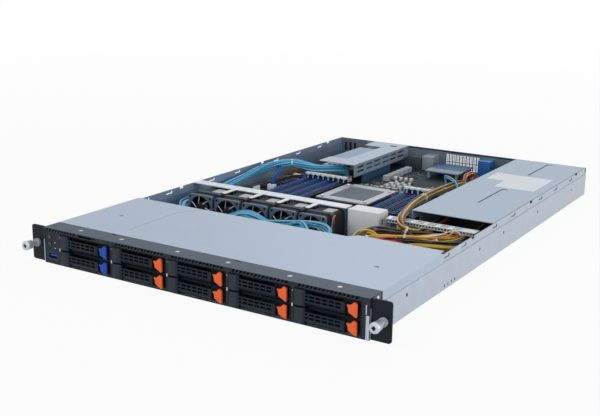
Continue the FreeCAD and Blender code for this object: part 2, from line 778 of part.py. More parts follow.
def front_cover():
    body = new_body()
    plate = polygon(sketch_on(body, "XY", "height - cover_sheet"), [
        ("-half", "cover_front"), ("half", "cover_front"), ("half", "cover_rear"),
        ("inner - 2", "cover_rear"), ("inner - 2", "cover_rear + cover_step"),
        ("cover_step_width", "cover_rear + cover_step"), ("cover_step_width - cover_step", "cover_rear"),
        ("-half", "cover_rear")])
    pad(body, plate, "cover_sheet", "XY")
    sides = sketch_on(body, "XY", "jog + seat_gap")
    for side in ("", "-"):
        rectangle(sides, f"{side}(half - cover_sheet + 0.1)", "cover_front", f"{side}half", "cover_rear")
    pad(body, sides, "height - jog - seat_gap", "XY")
    lip = rectangle(sketch_on(body, "XY", "height - 4"), "-inner + 2", "cover_rear - cover_sheet",
                    "cover_step_width - cover_step - 1", "cover_rear")
    pad(body, lip, "4", "XY")
    return node(body, "front_cover")


def psu_cover():
    """The power bay's cover, inside the pan's wall, with the wall that parts the bay from the board."""
    body = new_body()
    start, right = "rear - psu_cover_depth", "inner - seat_gap"
    plate = rectangle(sketch_on(body, "XY", "wall_top - cover_sheet"), "bay_wall", start, right, "rear")
    middle = "psu_right_x - psu_gap / 2"
    for first in ("rear - 12 - seam_length", "rear - 300"):
        rectangle(plate, f"{middle} - seam_width / 2", first, f"{middle} + seam_width / 2", f"{first} + seam_length")
    pad(body, plate, "cover_sheet", "XY")
    flange = rectangle(sketch_on(body, "XY", "wall_top - flange_drop"), f"{right} - cover_sheet", start, right,
                       "psu_front - power_board_gap - seat_gap")
    pad(body, flange, "flange_drop", "XY")
    wall = polygon(sketch_on(body, "YZ", "bay_wall"), [
        (f"{start} + 24", "sheet"), ("rear", "sheet"), ("rear", "wall_top"), (start, "wall_top"),
        (start, "wall_top - 12.5"), (f"{start} + 24", "wall_top - 12.5")])
    pad(body, wall, "cover_sheet", "YZ")
    return node(body, "psu_cover")


def fan_housing_form():
    """A square fan frame with a round duct, a motor boss and four struts, from its lower front left corner."""
    body = new_body()
    size = "fan_size"
    bevel = "fan_corner"
    frame = polygon(sketch_on(body, "XZ"), [
        (bevel, "0"), (f"{size} - {bevel}", "0"), (size, bevel), (size, f"{size} - {bevel}"),
        (f"{size} - {bevel}", size), (bevel, size), ("0", f"{size} - {bevel}"), ("0", bevel)])
    middle = "fan_size / 2"
    regular(frame, middle, middle, "duct", DUCT_SIDES)
    pad(body, frame, "fan_depth", "XZ")
    start = "hub_inset + hub_length + tip_gap"
    boss = regular(sketch_on(body, "XZ", start), middle, middle, "hub_radius", HUB_SIDES)
    pad(body, boss, "motor_length", "XZ")
    for across in (True, False):
        bar = sketch_on(body, "XZ", start)
        long_low, long_high = "fan_wall / 2", "fan_size - fan_wall / 2"
        thin_low, thin_high = f"{middle} - strut / 2", f"{middle} + strut / 2"
        if across:
            rectangle(bar, long_low, thin_low, long_high, thin_high)
        else:
            rectangle(bar, thin_low, long_low, thin_high, long_high)
        pad(body, bar, "motor_length", "XZ")
    shaft = regular(sketch_on(body, "XZ", f"{start} - 1"), middle, middle, "shaft_hole", PIN_SIDES)
    pocket(body, shaft, "motor_length + 2", "XZ")
    return body


def fan_rotor_form():
    """A hub with twisted blades and its shaft, turned about Z, from the hub's front face."""
    body = new_body()
    hub = regular(sketch_on(body, "XY"), "0", "0", "hub_radius", HUB_SIDES)
    pad(body, hub, "hub_length", "XY")
    shaft = regular(sketch_on(body, "XY", "hub_length - 1"), "0", "0", "shaft_radius", PIN_SIDES)
    pad(body, shaft, "motor_length", "XY")
    low, high = "1", "hub_length - 1"
    bend = "hub_length * 0.45"
    section = polygon(sketch_on(body, "YZ", "hub_radius - 1"), [
        ("-blade_sweep / 2", low), ("-blade_sweep / 2 + blade_thick", low), ("blade_thick", bend),
        ("blade_sweep / 2 + blade_thick", high), ("blade_sweep / 2", high), ("0", bend)])
    blade = pad(body, section, "duct - tip_gap - blade_crown - hub_radius + 1", "YZ")
    ring = body.newObject("PartDesign::PolarPattern", "Blades")
    ring.Originals = [blade]
    ring.Axis = (next(f for f in body.Origin.OriginFeatures if f.Role == "Z_Axis"), [""])
    ring.Angle = 360
    ring.Occurrences = BLADES
    body.Tip = ring
    return body


def fans():
    housing = fan_housing_form()
    node(group(*[copy(housing, fan_x(i), "fan_front", "sheet") for i in range(FANS)]), "fan_housings")
    rotor = fan_rotor_form()
    for i in range(FANS):
        spot = copy(rotor, f"{fan_x(i)} + fan_size / 2", "fan_front + hub_inset", "fan_mid", "y")
        node(spot, f"fan_rotor_{i + 1}")


def fan_bracket():
    """A web behind the fans with a comb-shaped top flange."""
    body = new_body()
    top = "fan_top + seat_gap"
    web = rectangle(sketch_on(body, "XZ", "web"), "fan_left - 1", "sheet", "fan_right + 1", f"{top} + cover_sheet / 2")
    for i in range(FANS):
        regular(web, f"{fan_x(i)} + fan_size / 2", "fan_mid", "duct - tip_gap", DUCT_SIDES)
    pad(body, web, "sheet", "XZ")
    near = "fan_rear - bar_overlap"
    far = "fan_rear - bar_overlap + bar_depth"
    outline = [("-inner + seat_gap", near)]
    for i in range(FANS - 1):
        middle = f"{fan_x(i)} + fan_size + fan_gap / 2"
        tip = f"{near} - finger_length"
        left, right = f"{middle} - finger_width / 2", f"{middle} + finger_width / 2"
        outline += [(left, near), (left, f"{tip} + 2"), (f"{left} + 2", tip), (f"{right} - 2", tip),
                    (right, f"{tip} + 2"), (right, near)]
    outline += [("fan_right + 1", near), ("fan_right + 1", far), ("-inner + seat_gap", far)]
    pad(body, polygon(sketch_on(body, "XY", top), outline), "cover_sheet", "XY")
    return body


def cable_bridge():
    """A perforated channel that stands on two legs to the right of the fans."""
    body = new_body()
    left, right = "bridge_left", "inner - 12"
    section = polygon(sketch_on(body, "XZ", "web + 6"), [
        (left, "sheet"), (f"{left} + sheet", "sheet"), (f"{left} + sheet", "bridge_top - sheet"),
        (f"{right} - sheet", "bridge_top - sheet"), (f"{right} - sheet", "sheet"), (right, "sheet"),
        (right, "bridge_top"), (left, "bridge_top")])
    pad(body, section, "bridge_depth", "XZ")
    hole = sketch_on(body, "XY", "bridge_top - 2 * sheet")
    for row in range(2):
        near = f"web + 8 + {row} * 6"
        rectangle(hole, f"{left} + 7", near, f"{left} + 18", f"{near} + 3.6")
    repeat(body, pocket(body, hole, "3 * sheet", "XY"), "X", "17", 6)
    return body


def air_baffle():
    near, far = "web - 6", "web - 6 + baffle_depth"
    left, right = "baffle_left", "baffle_left + baffle_width"
    shell = block(left, near, "sheet", right, far, "wall_top - seat_gap")
    hollow = block(f"{left} + baffle_wall", f"{near} + baffle_wall", "sheet - 1", f"{right} - baffle_wall",
                   f"{far} + 1", "wall_top - seat_gap - baffle_wall")
    holes = []
    for index in range(2):
        low = f"8 + {index} * 15"
        holes.append(block(f"{right} - 2 * baffle_wall", f"{near} + 9", low, f"{right} + 1", f"{near} + 15", f"{low} + 9"))
    return node(cut(shell, hollow, *holes), "air_baffle")


# Sockets on the board that cable bundles plug into: middle and half width
HEADERS = [("-112", "536", "7"), ("88", "546", "12")]


def mainboard():
    """The board with a row of coils and the sockets of its cables."""
    body = new_body()
    left, right = "-inner + board_edge", "bay_wall - board_edge"
    outline = polygon(sketch_on(body, "XY", "board_low"), [
        (left, "board_front"), ("baffle_left - 2", "board_front"), ("baffle_left - 2", "board_front + 16"),
        (right, "board_front + 16"), (right, "board_rear"), (left, "board_rear")])
    pad(body, outline, "board_thick", "XY")
    coils = sketch_on(body, "XY", "board_top - 0.2")
    rectangle(coils, "riser_right + 20", "dimm_rear + 73", "riser_right + 20 + coil_side", "dimm_rear + 73 + coil_side")
    repeat(body, pad(body, coils, "coil_height + 0.2", "XY"), "Y", "coil_pitch", COILS)
    headers = sketch_on(body, "XY", "board_top - 0.2")
    for x, y, half_width in HEADERS:
        rectangle(headers, f"{x} - {half_width}", f"{y} - header_depth / 2", f"{x} + {half_width}",
                  f"{y} + header_depth / 2")
    pad(body, headers, "header_height + 0.2", "XY")
    return node(body, "mainboard")


def dimm_slot_form():
    """A memory slot with its groove, a closed front end and the two cheeks that hold its latch."""
    body = new_body()
    side, groove = "dimm_width / 2", "groove_width / 2"
    deep = "dimm_height - groove_depth"
    channel = polygon(sketch_on(body, "XZ"), [
        (f"-{side}", "0"), (side, "0"), (side, "dimm_height"), (groove, "dimm_height"), (groove, deep),
        (f"-{groove}", deep), (f"-{groove}", "dimm_height"), (f"-{side}", "dimm_height")])
    pad(body, channel, "dimm_length - dimm_tower_length", "XZ")
    end = rectangle(sketch_on(body, "XZ"), f"-{side}", "0", side, "dimm_tower")
    pad(body, end, "5", "XZ")
    cheeks = sketch_on(body, "XZ", "dimm_length - dimm_tower_length - 1")
    for sign in ("", "-"):
        rectangle(cheeks, f"{sign}({side} - cheek)", "0", f"{sign}({side})", "dimm_tower")
    pad(body, cheeks, "dimm_tower_length + 1", "XZ")
    return body


def dimm_latch_form():
    """A memory latch: a bar with a hook at its top, between the cheeks of a slot."""
    body = new_body()
    wide = "dimm_width / 2 - cheek - lever_side"
    bar = polygon(sketch_on(body, "YZ", f"-({wide})"), [
        ("pivot_back - 2", "pivot_z - 2"), ("pivot_back + 1.5", "pivot_z - 2"), ("pivot_back + 2.4", "pivot_z + 2"),
        ("pivot_back + 2.4", "latch_height"), ("pivot_back - 3", "latch_height"), ("pivot_back - 4", "latch_height - 3"),
        ("pivot_back - 0.6", "latch_height - 4.6"), ("pivot_back - 2", "pivot_z + 3")])
    pad(body, bar, f"2 * ({wide})", "YZ")
    return body


def dimm_x(bank, index):
    return f"{bank} + {index} * dimm_pitch"


def cpu_socket_form():
    """The socket body with the raised cap that covers its contacts."""
    body = new_body()
    inset = "6"
    base = rectangle(sketch_on(body, "XY", "board_top"), f"load_left + {inset}", f"load_front + {inset}",
                     f"load_right - {inset}", f"load_rear - 10")
    pad(body, base, "socket_height", "XY")
    cap = rectangle(sketch_on(body, "XY", "board_top"), "load_left + load_side + 1", "load_front + load_end + 1",
                    "load_right - load_side - 1", "load_rear - load_end - 1")
    pad(body, cap, "socket_height + cap_rise", "XY")
    return body


IO_PORTS = [("load_left + 13", 20, 20.5), ("load_left + 35", 20, 23.5), ("dimm_right + 35", 21, 27.5)]


def port_block(left, width, tall):
    """A metal port shell on the board's rear edge with its mouth through the rear panel."""
    right = f"{left} + {width}"
    shell = block(left, "board_rear - 14", "board_top", right, "rear + 1", f"board_top + {tall}")
    mouths = []
    steps = 2 if tall > 15 else 1
    room = (tall - 2) / steps
    for step in range(steps):
        low = f"board_top + 1.4 + {step} * {room}"
        mouths.append(block(f"{left} + 1.6", "rear - 8", low, f"{right} - 1.6", "rear + 2", f"{low} + {room - 1.4}"))
    return cut(shell, *mouths)


def board_parts():
    slot = dimm_slot_form()
    latch = dimm_latch_form()
    slots = []
    latches = []
    for bank in ("dimm_left", "dimm_right"):
        for index in range(BANK):
            slots.append(copy(slot, dimm_x(bank, index), "dimm_front", "board_top"))
            latches.append(copy(latch, dimm_x(bank, index), "dimm_front", "board_top"))
    ports = [port_block(*port) for port in IO_PORTS]
    node(group(cpu_socket_form(), *slots, *ports), "board_connectors")
    node(group(*latches), "dimm_latches")
    frame = new_body()
    ring = rectangle(sketch_on(frame, "XY", "load_low"), "load_left", "load_front", "load_right", "load_rear - 3")
    rectangle(ring, "load_left + load_side", "load_front + load_end", "load_right - load_side", "load_rear - load_end")
    pad(frame, ring, "load_sheet", "XY")
    barrel = circle(sketch_on(frame, "YZ", "load_left + 12"), "load_rear - 3", "load_low + hinge_radius - 0.4",
                    "hinge_radius")
    pad(frame, barrel, "load_width - 24", "YZ")
    node(frame, "cpu_load_frame")


def riser_cage():
    """A folded cage over an expansion card: a top plate open on the left, and a slotted right wall."""
    body = new_body()
    inner_x, near, far = "riser_right - riser_rim", "riser_front + riser_front_rim", "riser_rear - riser_rear_rim"
    top = polygon(sketch_on(body, "XY", "riser_top - cover_sheet"), [
        ("riser_left", "riser_front"), ("riser_right", "riser_front"), ("riser_right", "riser_rear"),
        ("riser_left", "riser_rear"), ("riser_left", far), (inner_x, far), (inner_x, near), ("riser_left", near)])
    rectangle(top, "riser_right - 25", "riser_rear - 24", "riser_right - 12", "riser_rear - 16")
    pad(body, top, "cover_sheet", "XY")
    wall = rectangle(sketch_on(body, "XZ", "riser_front"), "riser_right - cover_sheet", "riser_top - riser_wall",
                     "riser_right", "riser_top")
    pad(body, wall, "riser_rear - riser_front", "XZ")
    slots = sketch_on(body, "YZ", "riser_right - 2 * cover_sheet")
    for row in range(2):
        low = f"riser_top - 7.5 - {row} * 7"
        rectangle(slots, "riser_front + 10", low, "riser_front + 10 + riser_slot", f"{low} + riser_slot_height")
    repeat(body, pocket(body, slots, "3 * cover_sheet", "YZ"), "Y", "riser_slot_pitch", 6)
    return node(body, "riser_cage")


def rear_panel():
    near, far = "rear - sheet", "rear"
    plate = block("-inner + seat_gap", near, "sheet", "bay_wall - seat_gap", far, "wall_top")
    tools = [block("card_left + 2", f"{near} - 1", "card_low", "card_socket_x + 2", f"{far} + 1",
                   "card_low + bracket_height - 3")]
    for index in range(3):
        left = f"-inner + 6 + {index} * 9"
        tools.append(block(left, f"{near} - 1", "20", f"{left} + 5", f"{far} + 1", "35"))
    for left, width, tall in IO_PORTS:
        tools.append(block(f"{left} - seat_gap", f"{near} - 1", "board_low - 2", f"{left} + {width} + seat_gap",
                           f"{far} + 1", f"board_top + {tall} + seat_gap"))
    for row in range(2):
        low = f"board_top + 2.4 + {row} * (grid_height + grid_bar)"
        for column in range(10):
            left = f"load_right - 15 + {column} * grid_pitch"
            tools.append(block(left, f"{near} - 1", low, f"{left} + grid_slot", f"{far} + 1", f"{low} + grid_height"))
    node(cut(plate, *tools), "rear_panel")


def drive_backplane():
    """The board behind the drives with a socket for each and two plugs for its cables."""
    far = "backplane + board_thick"
    plate = block("bay_left - 1", "backplane", "sheet", "bay_left + 4 * bay_pitch + carrier_width + 1", far, "bay_roof")
    windows = []
    sockets = []
    for column in range(COLUMNS):
        left = bay_x(column)
        windows.append(block(f"{left} + 4", "backplane - 1", "bay_floor + 3", f"{left} + 18", f"{far} + 1", "bay_roof - 5"))
        for row in range(ROWS):
            low = f"{bay_z(row)} + carrier_bar + 1.5"
            sockets.append(block(f"{left} + 24", "bay_rear - 2", low, f"{left} + 66", "backplane + 0.5", f"{low} + 7"))
    for x in (DATA_ROUTE[0][0], POWER_ROUTE[0][0]):
        sockets.append(block(f"{x} - 8", f"{far} - 0.5", "14", f"{x} + 8", f"{far} + plug_depth", "26"))
    return join(cut(plate, *windows), *sockets)


def power_board():
    """The board in front of the power supplies with their sockets and the plugs of its cables."""
    near = "psu_front - power_board_gap"
    plate = block("psu_left_x + 1", near, "sheet", "inner - 2", f"{near} + board_thick", "psu_height - 4")
    plugs = []
    for left in ("psu_left_x", "psu_right_x"):
        plugs.append(block(f"{left} + 8", f"{near} + 1", "10", f"{left} + 46", "psu_front - seat_gap", "22"))
    for x in (BOARD_ROUTE[0][0], POWER_ROUTE[-1][0]):
        plugs.append(block(f"{x} - 10", f"{near} - plug_depth", "14", f"{x} + 10", f"{near} + 0.5", "29"))
    return join(plate, *plugs)


def expansion_card():
    """A card laid flat in the riser's socket, with its bracket at the rear panel."""
    card = block("card_left", "riser_front + riser_front_rim", "card_low", "card_socket_x - seat_gap",
                 "riser_rear - cover_sheet / 2", "card_low + board_thick")
    bracket = block("card_left - 1", "riser_rear - cover_sheet", "card_low - 2", "card_socket_x + 5", "riser_rear",
                    "card_low + bracket_height")
    return join(card, bracket)


def mezzanine():
    """A small card on four posts over the board's rear edge."""
    left, near = "load_right - 20", "board_rear - mezzanine_depth"
    low = "board_top + mezzanine_rise"
    card = block(left, near, low, f"{left} + mezzanine_width", "board_rear", f"{low} + board_thick")
    posts = []
    for across in ("5", "mezzanine_width - 5"):
        for along in ("5", "mezzanine_depth - 5"):
            x, y = f"{left} + {across}", f"{near} + {along}"
            posts.append(block(f"{x} - 2", f"{y} - 2", "board_top", f"{x} + 2", f"{y} + 2", f"{low} + 0.2"))
    return join(card, *posts)


def daughter_boards():
    """The drive backplane, the power board, the riser card, the expansion card and the mezzanine card."""
    near = "riser_front + 30"
    riser = block("riser_card_x", near, "board_top", "riser_card_x + board_thick", f"{near} + riser_card_length",
                  "riser_top - cover_sheet - seat_gap")
    socket = block("card_socket_x", f"{near} + 3", "card_low - 3", "riser_card_x + 0.6",
                   f"{near} + riser_card_length - 4", "card_low + 4")
    node(group(drive_backplane(), power_board(), join(riser, socket), expansion_card(), mezzanine()), "daughter_boards")


def psu_form():
    """A slim power supply with an inlet, vents and a bent bar handle, from its lower front left corner."""
    body = new_body()
    case = rectangle(sketch_on(body, "XZ"), "0", "0", "psu_width", "psu_height")
    pad(body, case, "psu_depth", "XZ")
    loop = polygon(sketch_on(body, "XY", "psu_height - 14"), [
        ("3", "psu_depth - 1"), ("3 + handle_bar", "psu_depth - 1"), ("3 + handle_bar", "psu_depth + handle_reach - handle_bar"),
        ("30 - handle_bar", "psu_depth + handle_reach - handle_bar"), ("30 - handle_bar", "psu_depth - 1"),
        ("30", "psu_depth - 1"), ("30", "psu_depth + handle_reach - 3"), ("27", "psu_depth + handle_reach"),
        ("6", "psu_depth + handle_reach"), ("3", "psu_depth + handle_reach - 3")])
    pad(body, loop, "handle_width", "XY")
    inlet = rectangle(sketch_on(body, "XZ", "psu_depth - inlet_depth"), "psu_width - inlet_width - 4", "3",
                      "psu_width - 4", "3 + inlet_height")
    pocket(body, inlet, "inlet_depth + 1", "XZ")
    pins = sketch_on(body, "XZ", "psu_depth - inlet_depth - 1")
    for index in range(3):
        left = f"psu_width - inlet_width + 2.5 + {index} * 7"
        rectangle(pins, left, "10", f"{left} + 1.6", "14")
    pad(body, pins, "inlet_depth - 2", "XZ")
    vent = rectangle(sketch_on(body, "XZ", "psu_depth - 6"), "4", "4", "6.4", "22")
    repeat(body, pocket(body, vent, "7", "XZ"), "X", "4.4", 4)
    guide = rectangle(sketch_on(body, "XZ", "psu_depth - 9"), "psu_width - 5 - release_width - release_travel",
                      "psu_height - 14", "psu_width - 4", "psu_height - 4")
    pocket(body, guide, "10", "XZ")
    return body


def psu_latch_form():
    """The release tab of a power supply, in its guide on the rear face."""
    body = new_body()
    right = "psu_width - 4 - seat_gap"
    tab = polygon(sketch_on(body, "XY", "psu_height - 14 + seat_gap"), [
        (f"{right} - release_width", "psu_depth - 9 + seat_gap"), (right, "psu_depth - 9 + seat_gap"),
        (right, "psu_depth + release_reach"), (f"{right} - release_thick", "psu_depth + release_reach"),
        (f"{right} - release_thick", "psu_depth + 3"), (f"{right} - release_width", "psu_depth + 1")])
    pad(body, tab, "10 - 2 * seat_gap", "XY")
    return body


def power_supplies():
    psu = psu_form()
    latch = psu_latch_form()
    for side in ("left", "right"):
        node(copy(psu, f"psu_{side}_x", "psu_front", "sheet + seat_gap"), f"psu_{side}")
        node(copy(latch, f"psu_{side}_x", "psu_front", "sheet + seat_gap"), f"psu_latch_{side}")


def tube(points, radius):
    """A five-sided bundle along a smooth curve through the points, in short straight runs."""
    ends = [FreeCAD.Vector(*point) for point in points]
    curve = Part.BSplineCurve()
    curve.interpolate(ends[1:-1])
    corners = [ends[0], *curve.discretize(Number=3 * len(points) // 2), ends[-1]]
    path = Part.makePolygon(corners)
    direction = (corners[1] - corners[0]).normalize()
    side = direction.cross(FreeCAD.Vector(0, 0, 1)).normalize()
    up = side.cross(direction)
    rim = []
    for step in range(BUNDLE_SIDES + 1):
        angle = 2 * math.pi * step / BUNDLE_SIDES
        rim.append(corners[0] + side * (radius * math.cos(angle)) + up * (radius * math.sin(angle)))
    solid = path.makePipeShell([Part.makePolygon(rim)], True, False, 1)
    area = BUNDLE_SIDES / 2 * radius ** 2 * math.sin(2 * math.pi / BUNDLE_SIDES)
    print("bundle", round(path.Length, 1), "volume ratio", round(solid.Volume / (area * path.Length), 4))
    return solid


def cables():
    item = doc.addObject("Part::Feature", "Bundles")
    solids = [tube(DATA_ROUTE, sheet.data_bundle_radius), tube(POWER_ROUTE, sheet.power_bundle_radius),
              tube(BOARD_ROUTE, sheet.power_bundle_radius)]
    item.Shape = Part.makeCompound(solids)
    item.Placement = FreeCAD.Placement()
    node(item, "cables")


base_pan()
drive_cage()
carriers()
ears_and_screws()
control_panel()
front_cover()
psu_cover()
fans()
node(group(fan_bracket(), cable_bridge()), "cross_brackets")
air_baffle()
mainboard()
board_parts()
riser_cage()
rear_panel()
daughter_boards()
power_supplies()
cables()
doc.recompute()

for item in doc.Objects:
    if "Invalid" in item.State or "Error" in item.State:
        raise RuntimeError(f"{item.Name} failed: {item.State}")
for base, trimmed in cuts:
    if trimmed.Shape.Volume > base.Shape.Volume - 0.01:
        raise RuntimeError(f"{trimmed.Name} cuts nothing")
for item in nodes:
    if item.Shape.isNull() or not item.Shape.isValid():
        raise RuntimeError(f"{item.Label} has no valid shape")

os.makedirs("parts", exist_ok=True)
for item in nodes:
    item.Shape.exportStep(f"parts/{item.Label}.step")
print(len(nodes), "nodes")
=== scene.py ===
"""Looks for a 1U rack server with its lid off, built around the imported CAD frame."""
import math
import random

import bmesh
import bpy
from mathutils import Matrix, Vector


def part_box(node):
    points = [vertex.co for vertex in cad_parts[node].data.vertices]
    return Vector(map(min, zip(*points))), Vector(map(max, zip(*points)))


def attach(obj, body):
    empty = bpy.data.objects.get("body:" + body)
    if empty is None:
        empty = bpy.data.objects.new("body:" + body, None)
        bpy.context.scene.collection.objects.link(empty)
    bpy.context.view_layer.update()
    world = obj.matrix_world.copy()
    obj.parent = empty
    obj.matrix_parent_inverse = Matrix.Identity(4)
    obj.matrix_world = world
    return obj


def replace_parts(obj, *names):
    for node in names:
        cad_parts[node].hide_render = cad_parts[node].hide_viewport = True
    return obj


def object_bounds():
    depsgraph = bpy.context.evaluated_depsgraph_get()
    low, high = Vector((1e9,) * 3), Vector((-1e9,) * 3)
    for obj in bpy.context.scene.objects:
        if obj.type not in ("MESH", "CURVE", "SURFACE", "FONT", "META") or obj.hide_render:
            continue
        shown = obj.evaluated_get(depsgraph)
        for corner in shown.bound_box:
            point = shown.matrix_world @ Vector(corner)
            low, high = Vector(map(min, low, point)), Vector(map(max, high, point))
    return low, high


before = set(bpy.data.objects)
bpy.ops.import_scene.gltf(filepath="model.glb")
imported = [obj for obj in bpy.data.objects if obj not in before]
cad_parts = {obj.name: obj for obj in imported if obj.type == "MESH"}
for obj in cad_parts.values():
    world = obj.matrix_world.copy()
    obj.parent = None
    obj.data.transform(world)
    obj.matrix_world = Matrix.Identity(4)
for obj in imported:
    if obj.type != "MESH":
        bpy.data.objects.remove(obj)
cad_low, cad_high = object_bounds()

MM = 0.001
CHASSIS = "chassis"
UP, FORWARD = (0, 0, 1), (0, -1, 0)
rng = random.Random(11)


def span(node):
    """A node's lowest and highest corners in millimetres."""
    low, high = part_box(node)
    return low / MM, high / MM


# Places read from the frame, in millimetres
PAN_HIGH = span("base_pan")[1]
CAGE_LOW, CAGE_HIGH = span("drive_cage")
COVER_HIGH = span("front_cover")[1]
PSU_HIGH = span("psu_cover")[1]
FAN_LOW, FAN_HIGH = span("fan_housings")
BOARD_LOW, BOARD_HIGH = span("mainboard")
CONN_LOW, CONN_HIGH = span("board_connectors")
LOAD_LOW, LOAD_HIGH = span("cpu_load_frame")
RISER_LOW, RISER_HIGH = span("riser_cage")
REAR_LOW, REAR_HIGH = span("rear_panel")
PANEL_LOW = span("control_panel")[0]
SUPPLY_HIGH = span("psu_left")[1]
SUPPLY_RIGHT_LOW = span("psu_right")[0]
COLUMNS = 5
CARRIERS = 2 * COLUMNS
BLUE_LATCHES = 2
FANS = 5
FAN_SIZE = FAN_HIGH.z - FAN_LOW.z
FAN_PITCH = (FAN_HIGH.x - FAN_LOW.x - FAN_SIZE) / (FANS - 1)
FAN_MIDDLE = (FAN_LOW.z + FAN_HIGH.z) / 2
BOARD_THICK = 1.6
BOARD_TOP = BOARD_LOW.z + BOARD_THICK
CARD_TOP = 27.6
CEILING = cad_high.z / MM


# Materials

SOFT_EDGE = 0.0004
GLOSS_RANGE = 0.08
FINE_GRAIN, FINE_DEPTH = 1800.0, 0.0002


def wire(tree, start, end):
    tree.links.new(start, end)


def add(tree, kind, **values):
    """A new node with some inputs set, named with _ for a space."""
    made = tree.nodes.new(f"ShaderNode{kind}")
    for label, value in values.items():
        made.inputs[label.replace("_", " ")].default_value = value
    return made


def maths(tree, operation, *terms, kind="Math"):
    """The result of a maths node fed by sockets and plain numbers, in order."""
    made = add(tree, kind)
    made.operation = operation
    for slot, term in zip(made.inputs, terms):
        if isinstance(term, float):
            slot.default_value = term
        else:
            wire(tree, term, slot)
    return made.outputs["Value"]


def blotched(tree, colour, mottle):
    """A colour that the finish's blotches make a little darker and lighter."""
    ramp = add(tree, "ValToRGB")
    for element, place, share in zip(ramp.color_ramp.elements, (0.3, 0.7), (1 - mottle, 1 + mottle)):
        element.position = place
        element.color = (*(min(1.0, c * share) for c in colour), 1.0)
    wire(tree, tree.nodes["blotch"].outputs["Fac"], ramp.inputs["Fac"])
    return ramp.outputs["Color"]


def surface(name, colour, rough, metal, mottle, grain, bump, soft_edge=SOFT_EDGE, shine=0.5):
    """A procedural finish: blotches of colour, uneven gloss, a fine bump and soft edges."""
    item = bpy.data.materials.new(name)
    item.use_nodes = True
    tree = item.node_tree
    shader = tree.nodes["Principled BSDF"].inputs
    shader["Metallic"].default_value = metal
    shader["Specular IOR Level"].default_value = shine
    place = add(tree, "TexCoord")
    place.name = "place"
    blotch = add(tree, "TexNoise", Scale=grain, Detail=5.0)
    blotch.name = "blotch"
    fine = add(tree, "TexNoise", Scale=FINE_GRAIN, Detail=2.0)
    for noise in (blotch, fine):
        wire(tree, place.outputs["Object"], noise.inputs["Vector"])
    wire(tree, blotched(tree, colour, mottle), shader["Base Color"])
    gloss = add(tree, "MapRange", To_Min=max(0.02, rough - GLOSS_RANGE), To_Max=min(1.0, rough + GLOSS_RANGE))
    wire(tree, blotch.outputs["Fac"], gloss.inputs["Value"])
    wire(tree, gloss.outputs["Result"], shader["Roughness"])
    relief = add(tree, "Bump", Strength=bump, Distance=FINE_DEPTH)
    wire(tree, fine.outputs["Fac"], relief.inputs["Height"])
    if soft_edge:
        rounding = add(tree, "Bevel", Radius=soft_edge)
        rounding.samples = 4
        wire(tree, rounding.outputs["Normal"], relief.inputs["Normal"])
    wire(tree, relief.outputs["Normal"], shader["Normal"])
    return item


def plastic(name, colour, rough, shine, mottle=0.12, bump=0.08, grain=200.0):
    return surface(name, colour, rough, 0.0, mottle, grain, bump, SOFT_EDGE, shine)


def jacket(name, colour, rough=0.40, mottle=0.08, grain=150.0, bump=0.06):
    """A wire's cover, which has no edges to soften."""
    return surface(name, colour, rough, 0.0, mottle, grain, bump, 0.0)


def zone(item, limits, colour, mottle=0.12):
    """Gives a finish another colour inside limits along some axes, in millimetres."""
    tree = item.node_tree
    target = tree.nodes["Principled BSDF"].inputs["Base Color"]
    before = target.links[0].from_socket
    split = add(tree, "SeparateXYZ")
    wire(tree, tree.nodes["place"].outputs["Object"], split.inputs["Vector"])
    held = None
    for axis, (low, high) in limits.items():
        test = maths(tree, "COMPARE", split.outputs[axis], (low + high) / 2 * MM, (high - low) / 2 * MM)
        held = maths(tree, "MULTIPLY", held, test) if held else test
    mix = add(tree, "Mix")
    mix.data_type = "RGBA"
    factor, first, second = mix.inputs[0], mix.inputs[6], mix.inputs[7]
    wire(tree, held, factor)
    wire(tree, before, first)
    wire(tree, blotched(tree, colour, mottle), second)
    wire(tree, mix.outputs[2], target)


COVER_STEEL = surface("cover_steel", (0.42, 0.505, 0.63), 0.42, 0.25, 0.03, 40.0, 0.05)
SUPPLY_STEEL = surface("supply_steel", (0.35, 0.44, 0.55), 0.44, 0.25, 0.04, 40.0, 0.05)
PAN_STEEL = surface("pan_steel", (0.46, 0.52, 0.60), 0.42, 0.25, 0.05, 60.0, 0.06)
STRIP_STEEL = surface("strip_steel", (0.52, 0.58, 0.66), 0.36, 0.30, 0.04, 90.0, 0.05)
# Painted shade: a dark grey for the cover's crease and dimples and for the shaded inner side of the rear
# vent's bars.
SHADE_GREY = surface("seam_shade", (0.20, 0.25, 0.32), 0.60, 0.0, 0.05, 90.0, 0.05, 0.0)
GALVANISED = surface("galvanised", (0.62, 0.66, 0.70), 0.38, 0.55, 0.12, 160.0, 0.08)
RISER_STEEL = surface("riser_steel", (0.34, 0.42, 0.51), 0.40, 0.45, 0.10, 140.0, 0.08)
# Painted shade: the riser's steel in a darker blue, for its sunk shelf.
SHELF_SHADE = surface("riser_painted_shade", (0.19, 0.275, 0.39), 0.42, 0.35, 0.06, 140.0, 0.06)
BRIGHT_STEEL = surface("bright_steel", (0.42, 0.45, 0.49), 0.40, 0.5, 0.06, 200.0, 0.05)
PSU_STEEL = surface("psu_steel", (0.45, 0.48, 0.50), 0.40, 0.55, 0.08, 120.0, 0.06)
NICKEL = surface("nickel", (0.60, 0.62, 0.66), 0.38, 0.7, 0.04, 300.0, 0.03)
KNOB = surface("knob_steel", (0.56, 0.60, 0.66), 0.42, 0.45, 0.05, 300.0, 0.04)
BEZEL = plastic("bezel", (0.012, 0.019, 0.028), 0.56, 0.3, mottle=0.15, bump=0.14)
EARS = plastic("ear_black", (0.006, 0.009, 0.016), 0.56, 0.2, mottle=0.15, bump=0.12)
CAGE = plastic("cage_black", (0.011, 0.017, 0.026), 0.56, 0.3, mottle=0.15, bump=0.14)
TRIM = surface("trim_grey", (0.085, 0.108, 0.135), 0.50, 0.1, 0.10, 200.0, 0.14)
CARRIER = plastic("carrier_dark", (0.006, 0.009, 0.014), 0.60, 0.2, bump=0.10)
